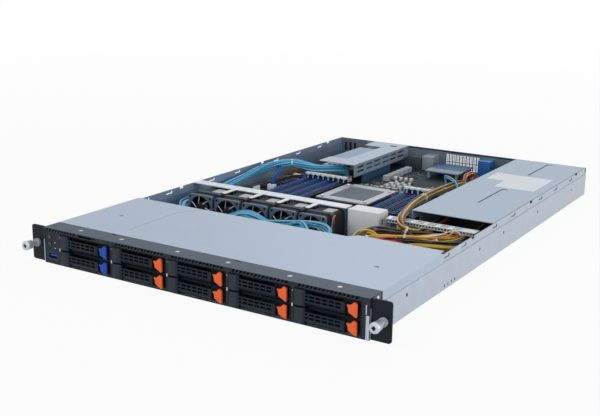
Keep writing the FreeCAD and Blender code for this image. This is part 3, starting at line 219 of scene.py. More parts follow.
LEVER = plastic("lever_plastic", (0.007, 0.014, 0.024), 0.54, 0.22, bump=0.16, grain=220.0)
PAD = plastic("lever_pad", (0.016, 0.024, 0.034), 0.54, 0.3, bump=0.16, grain=220.0)
ORANGE = plastic("latch_orange", (1.0, 0.155, 0.040), 0.46, 0.2, mottle=0.05)
BLUE = plastic("latch_blue", (0.018, 0.090, 0.48), 0.46, 0.2, mottle=0.05)
# Painted shade: the latch's orange plastic in a dark red, for the shaded stem behind the tab.
LATCH_SHADE = plastic("latch_painted_shade", (0.045, 0.012, 0.010), 0.60, 0.2)
FAN_BLACK = plastic("fan_black", (0.011, 0.013, 0.017), 0.66, 0.18, mottle=0.15, bump=0.12)
# Painted sheen: the fans' black plastic in lighter greys for the collars and the flanges.
FAN_HALF_SHEEN = plastic("fan_mid", (0.030, 0.038, 0.050), 0.58, 0.25, bump=0.12)
FAN_SHEEN = plastic("fan_painted_sheen", (0.110, 0.160, 0.230), 0.52, 0.3, mottle=0.10, bump=0.12)
ROTOR = surface("rotor_black", (0.014, 0.015, 0.018), 0.36, 0.0, 0.12, 200.0, 0.08)
WHITE = surface("white_plastic", (0.93, 0.955, 0.99), 0.45, 0.0, 0.03, 120.0, 0.06)
PAPER = surface("blank_label", (0.88, 0.92, 0.98), 0.60, 0.0, 0.02, 200.0, 0.03, 0.0)
FAN_LABEL = surface("fan_label", (0.52, 0.56, 0.60), 0.55, 0.0, 0.08, 300.0, 0.04, 0.0)
BOARD = surface("solder_mask", (0.007, 0.016, 0.028), 0.60, 0.0, 0.30, 260.0, 0.20, 0.0, 0.18)
CARD = surface("card_mask", (0.030, 0.085, 0.17), 0.38, 0.0, 0.25, 260.0, 0.20, 0.0)
SLOT_BLUE = plastic("slot_blue", (0.012, 0.095, 0.40), 0.48, 0.15, mottle=0.08)
SLOT_BLACK = plastic("slot_black", (0.003, 0.007, 0.014), 0.50, 0.2, mottle=0.10)
# Painted shade: near-black for the insides of holes, slots and notches and for the shaded rear corner.
SHADE_BLACK = surface("painted_shade_black", (0.003, 0.004, 0.006), 0.90, 0.0, 0.20, 200.0, 0.02, 0.0, 0.05)
CAP_GREY = surface("cap_grey", (0.115, 0.145, 0.180), 0.50, 0.0, 0.14, 500.0, 0.14)
CHIP = surface("chip_black", (0.018, 0.018, 0.020), 0.35, 0.0, 0.12, 400.0, 0.10)
CERAMIC = surface("part_grey", (0.33, 0.36, 0.38), 0.40, 0.35, 0.15, 500.0, 0.06)
TAN = surface("part_tan", (0.20, 0.16, 0.11), 0.40, 0.0, 0.15, 500.0, 0.06)
CAN = surface("can_aluminium", (0.50, 0.52, 0.55), 0.42, 0.5, 0.05, 400.0, 0.05)
GOLD = surface("gold_contact", (0.72, 0.48, 0.16), 0.28, 0.9, 0.08, 400.0, 0.04)
PORT_DARK = surface("port_dark", (0.060, 0.070, 0.085), 0.42, 0.3, 0.08, 300.0, 0.06)
PORT_BLUE = surface("port_blue", (0.010, 0.135, 0.40), 0.42, 0.0, 0.08, 200.0, 0.08)
BUTTON = surface("button_grey", (0.045, 0.055, 0.068), 0.40, 0.0, 0.06, 200.0, 0.06)
TEAL = jacket("jacket_teal", (0.045, 0.35, 0.58), rough=0.42, mottle=0.12, grain=120.0, bump=0.08)
PALE_TEAL = jacket("jacket_pale", (0.20, 0.54, 0.76), rough=0.42, mottle=0.12, grain=120.0, bump=0.08)
YELLOW = jacket("wire_yellow", (0.72, 0.46, 0.020))
WIRE_BLACK = jacket("wire_black", (0.012, 0.012, 0.013), mottle=0.10)
WIRE_RED = jacket("wire_red", (0.50, 0.035, 0.020))
WIRE_SCARLET = jacket("wire_scarlet", (0.66, 0.090, 0.045))
WIRE_BROWN = jacket("wire_brown", (0.17, 0.055, 0.032), rough=0.42, mottle=0.10)
WIRE_ORANGE = jacket("wire_orange", (0.80, 0.26, 0.10), rough=0.42)
TIE_WHITE = jacket("tie_white", (0.78, 0.79, 0.80), rough=0.42, mottle=0.03, bump=0.05)

# Colours of the parts of a node that differ from the rest, and where they lie
TRIM_TOP_HIGHLIGHT = (0.064, 0.092, 0.130)
INNER_SHADE = (0.150, 0.195, 0.250)
LEFT_WALL_SHADE = (0.258, 0.345, 0.475)
CAGE_STEEL = (0.30, 0.33, 0.36)
PLUG_WHITE = (0.62, 0.64, 0.62)
HEADER_GREY = (0.48, 0.51, 0.54)
NUT_STEEL = (0.42, 0.44, 0.47)
FLAT_CARD = (0.34, 0.42, 0.50)
MEZZANINE, MEZZANINE_EDGE = (0.035, 0.11, 0.26), (0.24, 0.33, 0.43)
HANDLE_BLACK = (0.020, 0.021, 0.023)
INSIDE, REAR_INSIDE = 217.9, 703.9
ABOVE_BOARD = (BOARD_TOP + 0.1, 40.0)
# Painted shade: the pan's inner faces are its own steel, coloured darker as if in shade.
zone(PAN_STEEL, {"X": (-INSIDE, INSIDE), "Y": (0.0, REAR_INSIDE)}, INNER_SHADE, 0.05)
# Painted shade: the left wall's inner face is the pan's steel coloured darker and bluer.
zone(PAN_STEEL, {"X": (-INSIDE, -210.0), "Y": (0.0, 703.0), "Z": (6.0, 44.0)}, LEFT_WALL_SHADE, 0.05)
# Painted highlight: the top face of the black cage's front is coloured a lighter grey.
zone(CAGE, {"Z": (43.3, 44.0), "Y": (-6.0, 24.0)}, TRIM_TOP_HIGHLIGHT)
zone(CAGE, {"Y": (24.0, 200.0)}, CAGE_STEEL)
for ear in ((-239.0, -226.0), (226.0, 239.0)):
    zone(EARS, {"X": ear, "Y": (-5.2, -2.05), "Z": (14.5, 29.0)}, NUT_STEEL)
zone(BOARD, {"Z": ABOVE_BOARD}, PLUG_WHITE)
zone(BOARD, {"Z": ABOVE_BOARD, "X": (-68.0, -54.0)}, HEADER_GREY)
zone(CARD, {"Y": (125.5, 140.0)}, PLUG_WHITE)
zone(CARD, {"Y": (455.0, 468.2), "X": (105.0, 216.0)}, PLUG_WHITE)
zone(CARD, {"Y": (540.0, 702.0), "X": (-170.0, -98.1)}, FLAT_CARD)
zone(CARD, {"Y": (702.0, 706.0)}, CAGE_STEEL)
zone(CARD, {"Y": (630.0, 696.0), "X": (-22.0, 40.0)}, MEZZANINE)
zone(CARD, {"Y": (630.0, 652.0), "X": (-22.0, 40.0)}, MEZZANINE_EDGE)
zone(PSU_STEEL, {"Y": (705.2, 740.0)}, HANDLE_BLACK)

# Painted light: a faint glow in the clear plastic brightens the carriers' windows and the panel lamps.
CLEAR_COLOUR, PAINTED_GLOW = (0.55, 0.58, 0.60), 0.1
CLEAR_PAINTED_GLOW = surface("clear_painted_glow", CLEAR_COLOUR, 0.3, 0.0, 0.04, 300.0, 0.03, 0.0)
glowing = CLEAR_PAINTED_GLOW.node_tree.nodes["Principled BSDF"].inputs
glowing["Emission Color"].default_value = (*CLEAR_COLOUR, 1.0)
glowing["Emission Strength"].default_value = PAINTED_GLOW


def finish_node(node, material):
    """Gives a carried-over CAD node its finish."""
    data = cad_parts[node].data
    data.materials.clear()
    data.materials.append(material)


# Mesh building, in millimetres

SHARP_ANGLE = math.radians(40)
BLADE_TAPER, BLADE_CURVE, BLADE_SWEEP = 0.6, 1.3, 0.22


def placed(name, data):
    item = bpy.data.objects.new(name, data)
    bpy.context.scene.collection.objects.link(item)
    return item


def circle(sides):
    return [(math.cos(2 * math.pi * i / sides), math.sin(2 * math.pi * i / sides)) for i in range(sides)]


class Form:
    """Collects solids for one piece."""

    def __init__(self):
        self.mesh = bmesh.new()

    def box(self, low, high, edge=0.0):
        low, high = Vector(low), Vector(high)
        made = bmesh.ops.create_cube(self.mesh, size=1.0)["verts"]
        middle, size = (low + high) / 2, high - low
        for vert in made:
            vert.co = middle + Vector(c * s for c, s in zip(vert.co, size))
        if edge:
            self.soften(made, edge)
        return self

    def stand(self, x, y, wide, deep, tall, edge=0.0):
        """A box that stands on the board, given by its middle."""
        wide, deep = wide / 2, deep / 2
        return self.box((x - wide, y - deep, BOARD_TOP), (x + wide, y + deep, BOARD_TOP + tall), edge)

    def soften(self, made, edge):
        edges = {e for v in made for e in v.link_edges}
        bmesh.ops.bevel(self.mesh, geom=list(edges), offset=edge, segments=2, affect="EDGES", profile=0.7)

    def close(self, faces):
        bmesh.ops.recalc_face_normals(self.mesh, faces=faces)
        return self

    def rod(self, start, end, radius, sides):
        start, end = Vector(start), Vector(end)
        axis = end - start
        turn = axis.to_track_quat("Z", "Y").to_matrix().to_4x4()
        made = bmesh.ops.create_cone(self.mesh, cap_ends=True, segments=sides, radius1=radius, radius2=radius,
                                     depth=axis.length)["verts"]
        bmesh.ops.transform(self.mesh, matrix=Matrix.Translation((start + end) / 2) @ turn, verts=made)
        return self

    def stitch(self, first, second, faces):
        """Joins two closed rings of vertices with a band of faces."""
        for i in range(len(first)):
            j = (i + 1) % len(first)
            faces.append(self.mesh.faces.new((first[i], first[j], second[j], second[i])))

    def loft(self, rings, joined=False):
        """Skins rings of points, capped at both ends or joined end to start, and returns the vertices."""
        rows = [[self.mesh.verts.new(spot) for spot in ring] for ring in rings]
        faces = [] if joined else [self.mesh.faces.new(rows[0][::-1]), self.mesh.faces.new(rows[-1])]
        for lower, upper in zip(rows, rows[1:] + rows[:1] if joined else rows[1:]):
            self.stitch(lower, upper, faces)
        self.close(faces)
        return [vert for row in rows for vert in row]

    def prism(self, outline, low, high, axis="z", edge=0.0):
        """An outline of (u, v) points raised from low to high along an axis."""
        u, v = {"z": (0, 1), "y": (0, 2), "x": (1, 2)}[axis]

        def at(point, height):
            spot = [height] * 3
            spot[u], spot[v] = point
            return spot
        made = self.loft([[at(point, height) for point in outline] for height in (low, high)])
        if edge:
            self.soften(made, edge)
        return self

    def lathe(self, profile, origin, axis, sides, ridge=0.0, ridged=()):
        """Turns (radius, height) points round an axis; ridged stretches alternate by the ridge."""
        turn = Vector(axis).to_track_quat("Z", "Y").to_matrix()
        rings = []
        for index, (radius, height) in enumerate(profile):
            ring = []
            for step, (c, s) in enumerate(circle(sides)):
                wide = radius - (ridge if index in ridged and step % 2 else 0.0)
                ring.append(Vector(origin) + turn @ Vector((wide * c, wide * s, height)))
            rings.append(ring)
        self.loft(rings)
        return self

    def sleeve(self, centre, half, bore, low, high, power, sides=64):
        """A square block with rounded corners and a round bore along Y."""
        x, z = centre
        rim = [(c, s, half / (abs(c) ** power + abs(s) ** power) ** (1 / power)) for c, s in circle(sides)]
        hole = [(c, s, bore) for c, s in circle(sides)]
        self.loft([[(x + reach * c, y, z + reach * s) for c, s, reach in ring]
                   for ring, y in ((rim, low), (rim, high), (hole, high), (hole, low))], joined=True)

    def blade(self, centre, inner, outer, near, far, start, lean, thick, across=5, along=8):
        """A curved fan blade between two radii, leaning round the axis as it goes back."""
        sheets = []
        for face in (-0.5, 0.5):
            sheet = []
            for a in range(across + 1):
                radius = inner + (outer - inner) * a / across
                row = []
                for b in range(along + 1):
                    back = b / along
                    body = thick * (1 - BLADE_TAPER * abs(2 * back - 1)) * face
                    angle = start + lean * back ** BLADE_CURVE + BLADE_SWEEP * a / across + body / radius
                    spot = (centre[0] + radius * math.cos(angle), near + (far - near) * back,
                            centre[1] + radius * math.sin(angle))
                    row.append(self.mesh.verts.new(spot))
                sheet.append(row)
            sheets.append(sheet)
        faces = []
        for sheet in sheets:
            for low_row, high_row in zip(sheet, sheet[1:]):
                for b in range(along):
                    corners = (low_row[b], low_row[b + 1], high_row[b + 1], high_row[b])
                    faces.append(self.mesh.faces.new(corners))
        rims = [s[0] + [row[-1] for row in s[1:]] + s[-1][-2::-1] + [row[0] for row in s[-2:0:-1]]
                for s in sheets]
        self.stitch(rims[0], rims[1], faces)
        return self.close(faces)

    def piece(self, name, material, body=CHASSIS, smooth=True, slot=None):
        """Finishes the mesh as a piece that rides on a body."""
        data = bpy.data.meshes.new(name)
        bmesh.ops.scale(self.mesh, vec=(MM, MM, MM), verts=self.mesh.verts)
        self.mesh.to_mesh(data)
        self.mesh.free()
        return add_piece(data, name, material, body, smooth)


def add_piece(data, name, material, body, smooth):
    item = placed(name, data)
    item.data.materials.append(material)
    if smooth:
        item.data.shade_smooth()
        item.data.set_sharp_from_angle(angle=SHARP_ANGLE)
    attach(item, body)
    return item


# Carried-over nodes

for look, nodes in (
        (PAN_STEEL, "base_pan rear_panel"), (COVER_STEEL, "front_cover"), (SUPPLY_STEEL, "psu_cover"),
        (CAGE, "drive_cage"), (EARS, "rack_ears"), (BEZEL, "control_panel"), (CARD, "daughter_boards"),
        (BUTTON, "power_button id_button"), (GALVANISED, "cross_brackets"), (BOARD, "mainboard"),
        (WHITE, "air_baffle dimm_latches"), (BRIGHT_STEEL, "cpu_load_frame"), (RISER_STEEL, "riser_cage"),
        (PSU_STEEL, "psu_left psu_right"), (ORANGE, "psu_latch_left psu_latch_right")):
    for plain in nodes.split():
        finish_node(plain, look)
for number in range(1, CARRIERS + 1):
    finish_node(f"drive_carrier_{number}", CARRIER)


# Fans

DUCT = 18.3
FLANGE = 4.0
COLLAR = 21.0
BLADES = 5
SPOKES = 7
SPOKE_START, SPOKE_LEAN = math.radians(46), math.radians(24)
SHARP_CORNER, SOFT_CORNER = 14.0, 7.0


def fan_centres():
    return [(FAN_LOW.x + FAN_SIZE / 2 + step * FAN_PITCH, FAN_MIDDLE) for step in range(FANS)]


def fan_frames():
    """Square flanges with corner holes painted as dark discs of shade, a slimmer body with a collar, spokes
    and a blank label; flanges and collar are the black plastic in lighter greys as painted sheen.
    """
    flanges, collars, bodies, spokes, holes, labels = (Form() for _ in range(6))
    near, far, half = FAN_LOW.y, FAN_HIGH.y, FAN_SIZE / 2
    for x, z in fan_centres():
        flanges.sleeve((x, z), half, DUCT, near, near + FLANGE, SHARP_CORNER)
        flanges.sleeve((x, z), half, DUCT, far - FLANGE, far, SHARP_CORNER)
        collar = near + COLLAR
        collars.sleeve((x, z), half - 0.2, DUCT, collar - FLANGE, collar + FLANGE, SHARP_CORNER)
        bodies.sleeve((x, z), half - 1.6, DUCT, near + FLANGE - 0.2, far - FLANGE + 0.2, SOFT_CORNER)
        bodies.lathe([(8.2, 0.0), (8.2, 1.0), (7.4, 1.6), (0.6, 1.6)], (x, near + 2.6, z), FORWARD, 32)
        for step in range(SPOKES):
            outer = SPOKE_START + 2 * math.pi * step / SPOKES
            ends = [(x + reach * math.cos(angle), near + 1.8, z + reach * math.sin(angle))
                    for reach, angle in ((7.6, outer + SPOKE_LEAN), (DUCT + 0.6, outer))]
            spokes.rod(*ends, 0.7, 10)
        inset = half - 3.4
        for across in (-inset, inset):
            for up in (-inset, inset):
                spot = (x + across, near - 0.02, z + up)
                holes.lathe([(1.7, 0.0), (1.7, 0.06), (0.3, 0.08)], spot, FORWARD, 20)
        labels.box((x - 2, far - 30, z + half - 1.8), (x + 12, far - 10, z + half - 1.4), 0.1)
    made = flanges.piece("fan_flanges", FAN_SHEEN, slot="fan_frame")
    collars.piece("fan_collars", FAN_HALF_SHEEN, slot="fan_frame")
    bodies.piece("fan_bodies", FAN_BLACK, slot="fan_frame")
    spokes.piece("fan_spokes", GALVANISED)
    holes.piece("fan_corner_holes", SHADE_BLACK)
    labels.piece("fan_labels", FAN_LABEL)
    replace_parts(made, "fan_housings")


def fan_rotors():
    for number, centre in enumerate(fan_centres(), 1):
        node = f"fan_rotor_{number}"
        low, high = span(node)
        hub, tip = 9.4, DUCT - 0.8
        form = Form()
        form.lathe([(2.0, 0.0), (hub - 1.5, 0.0), (hub, 1.4), (hub, 24.0), (hub - 1, 25.0), (3.0, 25.0),
                    (3.0, high.y - low.y)], (centre[0], low.y, centre[1]), (0, 1, 0), 40)
        for step in range(BLADES):
            start = 2 * math.pi * step / BLADES
            form.blade(centre, hub - 0.6, tip, low.y + 2.5, low.y + 22.5, start, 0.95, 1.5)
        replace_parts(form.piece(node + "_blades", ROTOR, node, slot="rotor_plastic"), node)


fan_frames()
fan_rotors()


# Cables: routes of the part's bundles and of the loose wires and leads, in millimetres

DATA_ROUTE = [(44, 130.6, 20), (44, 140, 20), (42, 176, 27), (2, 206, 34), (-80, 194, 34), (-160, 190, 30),
              (-202, 226, 24), (-205, 360, 22), (-207, 440, 32), (-194, 488, 33), (-150, 504, 32),
              (-118, 524, 30), (-112, 536, 25), (-112, 536, 16.8)]
POWER_ROUTE = [(84, 130.6, 20), (84, 140, 20), (86, 176, 26), (106, 212, 33), (150, 222, 35), (188, 250, 28),
               (186, 330, 18), (178, 446, 20), (178, 462, 20)]
BOARD_ROUTE = [(128, 462, 24), (128, 446, 24), (128, 390, 21), (130, 310, 20), (134, 268, 26), (118, 258, 36),
               (101, 300, 39.4), (82, 392, 38.4), (84, 490, 36), (88, 537, 33), (88, 546, 25),
               (88, 546, 16.8)]
SWING_ROUTE = DATA_ROUTE[:2] + [(52, 164, 23), (60, 188, 30), (50, 203, 36), (24, 206, 37), (-12, 202, 33),
                                (-48, 198, 30)] + DATA_ROUTE[4:]


def harness(*points):
    """A loose wire's route between the power bundle's own ends."""
    return POWER_ROUTE[:2] + list(points) + POWER_ROUTE[-3:]


BACK_ROUTE = harness((86, 180, 25), (88, 214, 31), (95, 236, 35), (108, 243, 33), (120, 256, 28),
                     (138, 272, 27), (164, 280, 26), (182, 294, 22))
RED_ROUTE = harness((96, 178, 27), (114, 196, 34), (134, 208, 36.5), (147, 217, 32), (158, 226, 22),
                    (172, 240, 14), (184, 270, 12))
LOW_ROUTE = harness((96, 170, 17), (120, 188, 18), (138, 204, 25), (154, 216, 30), (178, 221, 31),
                    (196, 228, 30), (203, 246, 26), (198, 290, 18))
LOOP_ROUTE = harness((90, 176, 22), (86, 198, 28), (84, 213, 33.5), (90, 223, 36), (100, 225, 34.5),
                     (110, 219, 31), (128, 218, 30), (154, 226, 33), (186, 252, 26))
FLARE_ROUTE = harness((86, 176, 25), (108, 212, 31), (140, 226, 32), (158, 240, 34), (171, 258, 34),
                      (173, 274, 30), (176, 294, 22))
THIN_ROUTE = harness((88, 176, 26), (108, 212, 32), (150, 223, 36), (172, 238, 36), (184, 246, 35),
                     (186, 262, 37), (183, 277, 36), (185, 285, 30), (187, 300, 21))
PALE_ROUTE = harness((88, 176, 26), (108, 214, 32), (146, 226, 35), (166, 244, 35), (174, 258, 35),
                     (178, 274, 36), (184, 282, 36), (190, 284, 31), (192, 300, 21))
FAN_LEAD = [(31.2, 252, 38.5), (32.2, 248, 39.5), (33.0, 243, 34), (33.4, 238, 20), (33.4, 236, 8),
            (33.4, 236, 1.4)]
SIDE_LEAD = [(-203, 478, 36), (-196, 470, 36), (-186, 456, 32), (-179, 436, 27), (-178, 423, 22),
             (-178, 421, 16)]
BACK_LEAD = [(82, 546, 16.8), (82, 546, 28), (80, 556, 37), (76, 584, 38), (74, 606, 31), (74, 616, 20),
             (74, 617, 13)]
LOW_LEAD = [(-209, 318, 12), (-204, 360, 16), (-194, 420, 13), (-188, 470, 17), (-178, 505, 14),
            (-168, 520, 11)]
CROSS_LEAD = [(46, 566, 13), (46, 564, 26), (52, 545, 37), (70, 522, 41.5), (88, 502, 41.5), (97, 496, 28),
              (98, 494, 13)]


def route_line(points):
    """Points along the smooth NURBS line of a route, in millimetres."""
    shape = bpy.data.curves.new("route", "CURVE")
    shape.dimensions = "3D"
    shape.resolution_u = 10
    line = shape.splines.new("NURBS")
    line.points.add(len(points) - 1)
    for point, spot in zip(line.points, points):
        point.co = (*(c * MM for c in spot), 1.0)
    line.order_u = 3
    line.use_endpoint_u = True
    item = placed("route", shape)
    bpy.context.view_layer.update()
    data = bpy.data.meshes.new_from_object(item.evaluated_get(bpy.context.evaluated_depsgraph_get()))
    found = [v.co / MM for v in data.vertices]
    bpy.data.objects.remove(item)
    bpy.data.meshes.remove(data)
    return found


# How wires sway and gather at their ends, a direction that no route takes, and the room above a wire
SWAY, SWAY_START, SWAY_PACE = 0.38, (0, 6.3), (5, 9)
GATHERED, LOOSENING = 0.35, 7
OFF_ROUTE = Vector((0.13, 0.09, 1.0))
LID_GAP = 0.2


def keep_low(spot, radius):
    """Keeps a wire's point under the part's highest level."""
    spot.z = min(spot.z, CEILING - radius - LID_GAP)


def strands(name, route, material, offsets, radius, twist, drift=None):
    """Wires that follow a route side by side, drawn together at its ends and loose between them."""
    line = route_line(route)
    last = len(line) - 1
    shape = bpy.data.curves.new(name, "CURVE")
    shape.dimensions = "3D"
    shape.bevel_depth = radius * MM
    shape.bevel_resolution = 2
    shape.use_fill_caps = True
    for reach, start in offsets:
        strand = shape.splines.new("POLY")
        strand.points.add(last)
        sway, pace = rng.uniform(*SWAY_START), rng.uniform(*SWAY_PACE)
        for index, spot in enumerate(line):
            ahead = line[min(index + 1, last)] - line[max(index - 1, 0)]
            side = ahead.cross(OFF_ROUTE).normalized()
            up = side.cross(ahead).normalized()
            share = index / last
            angle = start + twist * share
            loose = min(1.0, GATHERED + LOOSENING * min(share, 1 - share))
            wide = reach * loose * (1 + SWAY * math.sin(sway + pace * share))
            place = spot + side * (wide * math.cos(angle)) + up * (wide * math.sin(angle))
            if drift:
                place += drift(spot) * loose
            keep_low(place, radius)
            strand.points[index].co = (*(place * MM), 1.0)
    return add_piece(shape, name, material, CHASSIS, False)


def around(reach, count, phase=0.0):
    return [(reach, phase + 2 * math.pi * i / count) for i in range(count)]


def ease(value, start, end):
    """Rises smoothly from 0 at the start to 1 at the end."""
    share = min(1.0, max(0.0, (value - start) / (end - start)))
    return share * share * (3 - 2 * share)


def data_drift(spot):
    """Arcs in front of the fans and a rise along the left wall."""
    peak, period = 22, 88
    crest = 6.5 + 2.5 * ease(spot.x, -peak, peak)
    wave = -9.0 if spot.x < -110 else -2.5 + crest * math.cos(2 * math.pi * (spot.x - peak) / period)
    dip = wave * ease(spot.x, -200, -165) * ease(spot.y, 150, 185) * (1 - ease(spot.y, 215, 226))
    rise = 6.0 * ease(spot.y, 300, 360) * (1 - ease(spot.y, 488, 506))
    return Vector((0, 0, dip + rise))


def swing_drift(spot):
    """The bundle's own drift once the loose wires have joined it."""
    return data_drift(spot) * (1 - ease(spot.x, -80, -40))


def bands(name, route, shares, radius, drift=None):
    """White ties round a bundle at shares of its length."""
    line = route_line(route)
    form = Form()
    for share in shares:
        index = round(share * (len(line) - 1))
        along = line[index + 1] - line[index - 1]
        spot = line[index] + drift(line[index]) if drift else line[index].copy()
        keep_low(spot, radius)
        inner = radius - 0.5
        form.lathe([(inner, -1.3), (radius, -1.1), (radius, 1.1), (inner, 1.3)], spot, along, 24)
    form.piece(name, TIE_WHITE)


def cables():
    teal = strands("data_cables_teal", DATA_ROUTE, TEAL, around(4.6, 5) + around(1.7, 3, 0.4), 1.3, 8.0,
                   data_drift)
    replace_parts(teal, "cables")
    strands("data_cables_pale", DATA_ROUTE, PALE_TEAL, around(4.4, 4, 0.63), 1.1, 8.0, data_drift)
    strands("power_wires_yellow", POWER_ROUTE, YELLOW, around(3.4, 5) + [(0.5, 1.0)], 1.2, 5.0)
    front, behind = Vector((5, -8, 1)), Vector((-2, 7, 1))
    strands("power_wires_black", POWER_ROUTE, WIRE_BLACK, around(3.0, 4, 0.78), 1.2, 5.0, lambda spot: front)
    strands("power_wires_slate", BACK_ROUTE, WIRE_BLACK, around(3.0, 5), 1.3, 4.0)
    strands("power_wires_brown", BACK_ROUTE, WIRE_BROWN, around(2.6, 4, 0.6), 1.2, 4.0)
    strands("power_wires_red", RED_ROUTE, WIRE_SCARLET, around(2.4, 4), 1.2, 3.0)
    strands("power_wires_orange", RED_ROUTE, WIRE_ORANGE, around(2.2, 2, 0.8), 1.0, 3.0)
    strands("power_wires_low", LOW_ROUTE, YELLOW, around(2.2, 4), 1.2, 3.0)
    strands("power_wires_dark", LOW_ROUTE, WIRE_BLACK, around(2.6, 3), 1.2, 3.0, lambda spot: behind)
    strands("power_wires_loop", LOOP_ROUTE, YELLOW, around(2.0, 4), 1.1, 6.0)
    strands("power_wires_flare", FLARE_ROUTE, YELLOW, around(2.4, 4), 1.1, 2.0)
    strands("power_wires_thin", THIN_ROUTE, WIRE_ORANGE, around(0.8, 2), 0.7, 2.0)
    strands("power_wires_pale", PALE_ROUTE, TIE_WHITE, around(0.8, 2), 0.7, 2.0)
    strands("board_wires_yellow", BOARD_ROUTE, YELLOW, around(3.6, 4), 1.2, 5.0)
    strands("board_wires_black", BOARD_ROUTE, WIRE_BLACK, around(3.6, 4, 0.78) + [(0.5, 1.0)], 1.2, 5.0)
    strands("board_wires_brown", BOARD_ROUTE, WIRE_BROWN, around(2.0, 3, 0.3), 1.1, 5.0)
    strands("board_wires_orange", BOARD_ROUTE, WIRE_ORANGE, around(4.2, 2, 1.9), 0.9, 5.0)
    bands("data_tie", DATA_ROUTE, (0.72,), 5.6, data_drift)
    bands("power_ties", POWER_ROUTE, (0.33, 0.48, 0.60), 5.0)
    bands("board_ties", BOARD_ROUTE, (0.40, 0.66), 5.8)


def leads():
    """Thin wires between the fans, the board's plugs and the harness."""
    strands("fan_lead_orange", FAN_LEAD, WIRE_ORANGE, around(0.6, 2), 0.45, 2.0)
    strands("fan_lead_brown", FAN_LEAD, WIRE_BROWN, [(0.6, 1.6)], 0.45, 2.0)
    strands("side_lead_blue", SIDE_LEAD, SLOT_BLUE, around(1.6, 3), 1.3, 2.0)
    strands("low_lead_black", LOW_LEAD, WIRE_BLACK, around(2.4, 5), 1.1, 3.0)
    strands("low_lead_brown", LOW_LEAD, WIRE_BROWN, around(2.6, 2, 0.5), 0.9, 3.0)
    strands("back_lead_orange", BACK_LEAD, WIRE_ORANGE, around(2.2, 4), 0.8, 3.0)
    strands("back_lead_red", BACK_LEAD, WIRE_RED, around(1.0, 2, 0.7), 0.8, 3.0)
    strands("cross_lead_pale", CROSS_LEAD, PALE_TEAL, around(1.3, 3), 0.9, 2.0)
    plugs = Form()
    for x, y, wide, deep, top in ((-178, 421, 12, 8, 17), (-184, 503, 11, 8, 17), (74, 617, 11, 8, 14),
                                  (46, 566, 9, 7, 14), (98, 494, 7, 9, 14), (-196, 402, 9, 14, 16)):
        plugs.stand(x, y, wide, deep, top - BOARD_TOP, 0.4)
        plugs.stand(x, y, wide - 2, deep + 1, top - 3 - BOARD_TOP, 0.3)
    plugs.piece("lead_plugs", WHITE)


def swinging_wires():
    """Data wires that leave the bundle for a wider arc in front of the last fans."""
    strands("data_swing_teal", SWING_ROUTE, TEAL, around(3.2, 4), 1.2, 5.0, swing_drift)
    strands("data_swing_pale", SWING_ROUTE, PALE_TEAL, around(2.8, 3, 0.6), 1.1, 5.0, swing_drift)


cables()
leads()


# Front: knobs, levers, trim and the control panel

def screw_heads(name, spots, radius, height, axis, material=NICKEL, body=CHASSIS):
    """Domed heads with a small recess, standing on a face."""
    form = Form()
    for spot in spots:
        dome = ((1.0, 0.0), (1.0, 0.45), (0.86, 0.8), (0.5, 1.0), (0.34, 0.7), (0.1, 0.6))
        form.lathe([(radius * across, height * up) for across, up in dome], spot, axis, 24)
    form.piece(name, material, body)


# A knob's radius as a share of its widest, and how far each point lies from its end
KNOB_PROFILE = ((0.52, 11), (0.80, 11), (0.86, 10.4), (0.93, 5), (1.0, 3), (1.0, 1.6), (0.95, 0.8),
                (0.84, 0.1), (0.74, 0), (0.40, 0), (0.30, 1.2), (0.05, 1.6))


def thumbscrews():
    """Knurled knobs that taper towards a thin neck, with a cross in the end painted black as the shade in its
    slot.
    """
    for side in ("left", "right"):
        node = f"thumbscrew_{side}"
        low, high = span(node)
        middle = (low + high) / 2
        wide, long = (high.x - low.x) / 2, high.y - low.y
        profile = [(0.52 * wide, 0.0)] + [(share * wide, long - drop) for share, drop in KNOB_PROFILE]
        knob = Form().lathe(profile, (middle.x, high.y, middle.z), FORWARD, 72, 0.28, (3, 4))
        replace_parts(knob.piece(node + "_knob", KNOB, node, slot="screw_steel"), node)
        cross = Form()
        for reach, thick in ((0.62 * wide, 0.5), (0.5, 0.62 * wide)):
            cross.box((middle.x - reach, low.y + 0.05, middle.z - thick),
                      (middle.x + reach, low.y + 1.4, middle.z + thick))
        cross.piece(node + "_cross", FAN_BLACK, node)


def levers():
    """Swing handles: a rounded pad at the hinge, two rows of holes and a skirt that leans back."""
    pad_width, post, first_hole, hole, bar, thick = 12.0, 0.9, 3.4, 6.0, 1.45, 2.0
    for number in range(1, CARRIERS + 1):
        node = f"carrier_lever_{number}"
        low, high = span(node)
        near, far = low.y, low.y + thick
        rails = [high.z - drop for drop in (3.4, 4.8, 7.0, 8.6, 10.8, 12.2)]
        form = Form()
        start = low.x + pad_width
        for top, base in zip(rails[::2], rails[1::2]):
            form.box((start, near, base), (high.x - 1.2, far, top), 0.3)
        right = start + post
        form.box((start, near + 0.1, rails[-1] + 0.1), (right, far - 0.1, rails[0] - 0.1), 0.2)
        right += first_hole
        while right < high.x - 2 * bar:
            left = right
            right = left + bar if left + bar + hole < high.x else high.x - 0.4
            form.box((left, near + 0.1, rails[-1] + 0.1), (right, far - 0.1, rails[0] - 0.1), 0.2)
            right += hole
        skirt = [(near + 0.3, rails[-1] + 0.2), (far, rails[-1] + 0.2), (high.y, low.z + 0.8),
                 (high.y - 1.4, low.z + 0.6)]
        form.prism(skirt, start + 0.2, high.x - 1.4, "x", 0.2)
        form.box((low.x, near + 0.3, low.z), (start + 0.6, high.y - 0.6, high.z), 0.5)
        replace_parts(form.piece(node + "_grille", LEVER, node, slot="lever_plastic"), node)
        crown = ((0.5, 0.8), (0.5, -0.2), (1.6, -0.7), (6.4, -0.7), (7.6, -0.3), (12.2, 1.2), (12.2, 1.6))
        outline = [(low.x + a, near + b) for a, b in crown]
        pad = Form().prism(outline, low.z + 0.3, high.z - 0.3, "z", 0.25)
        pad.piece(node + "_pad", PAD, node, slot="lever_plastic")


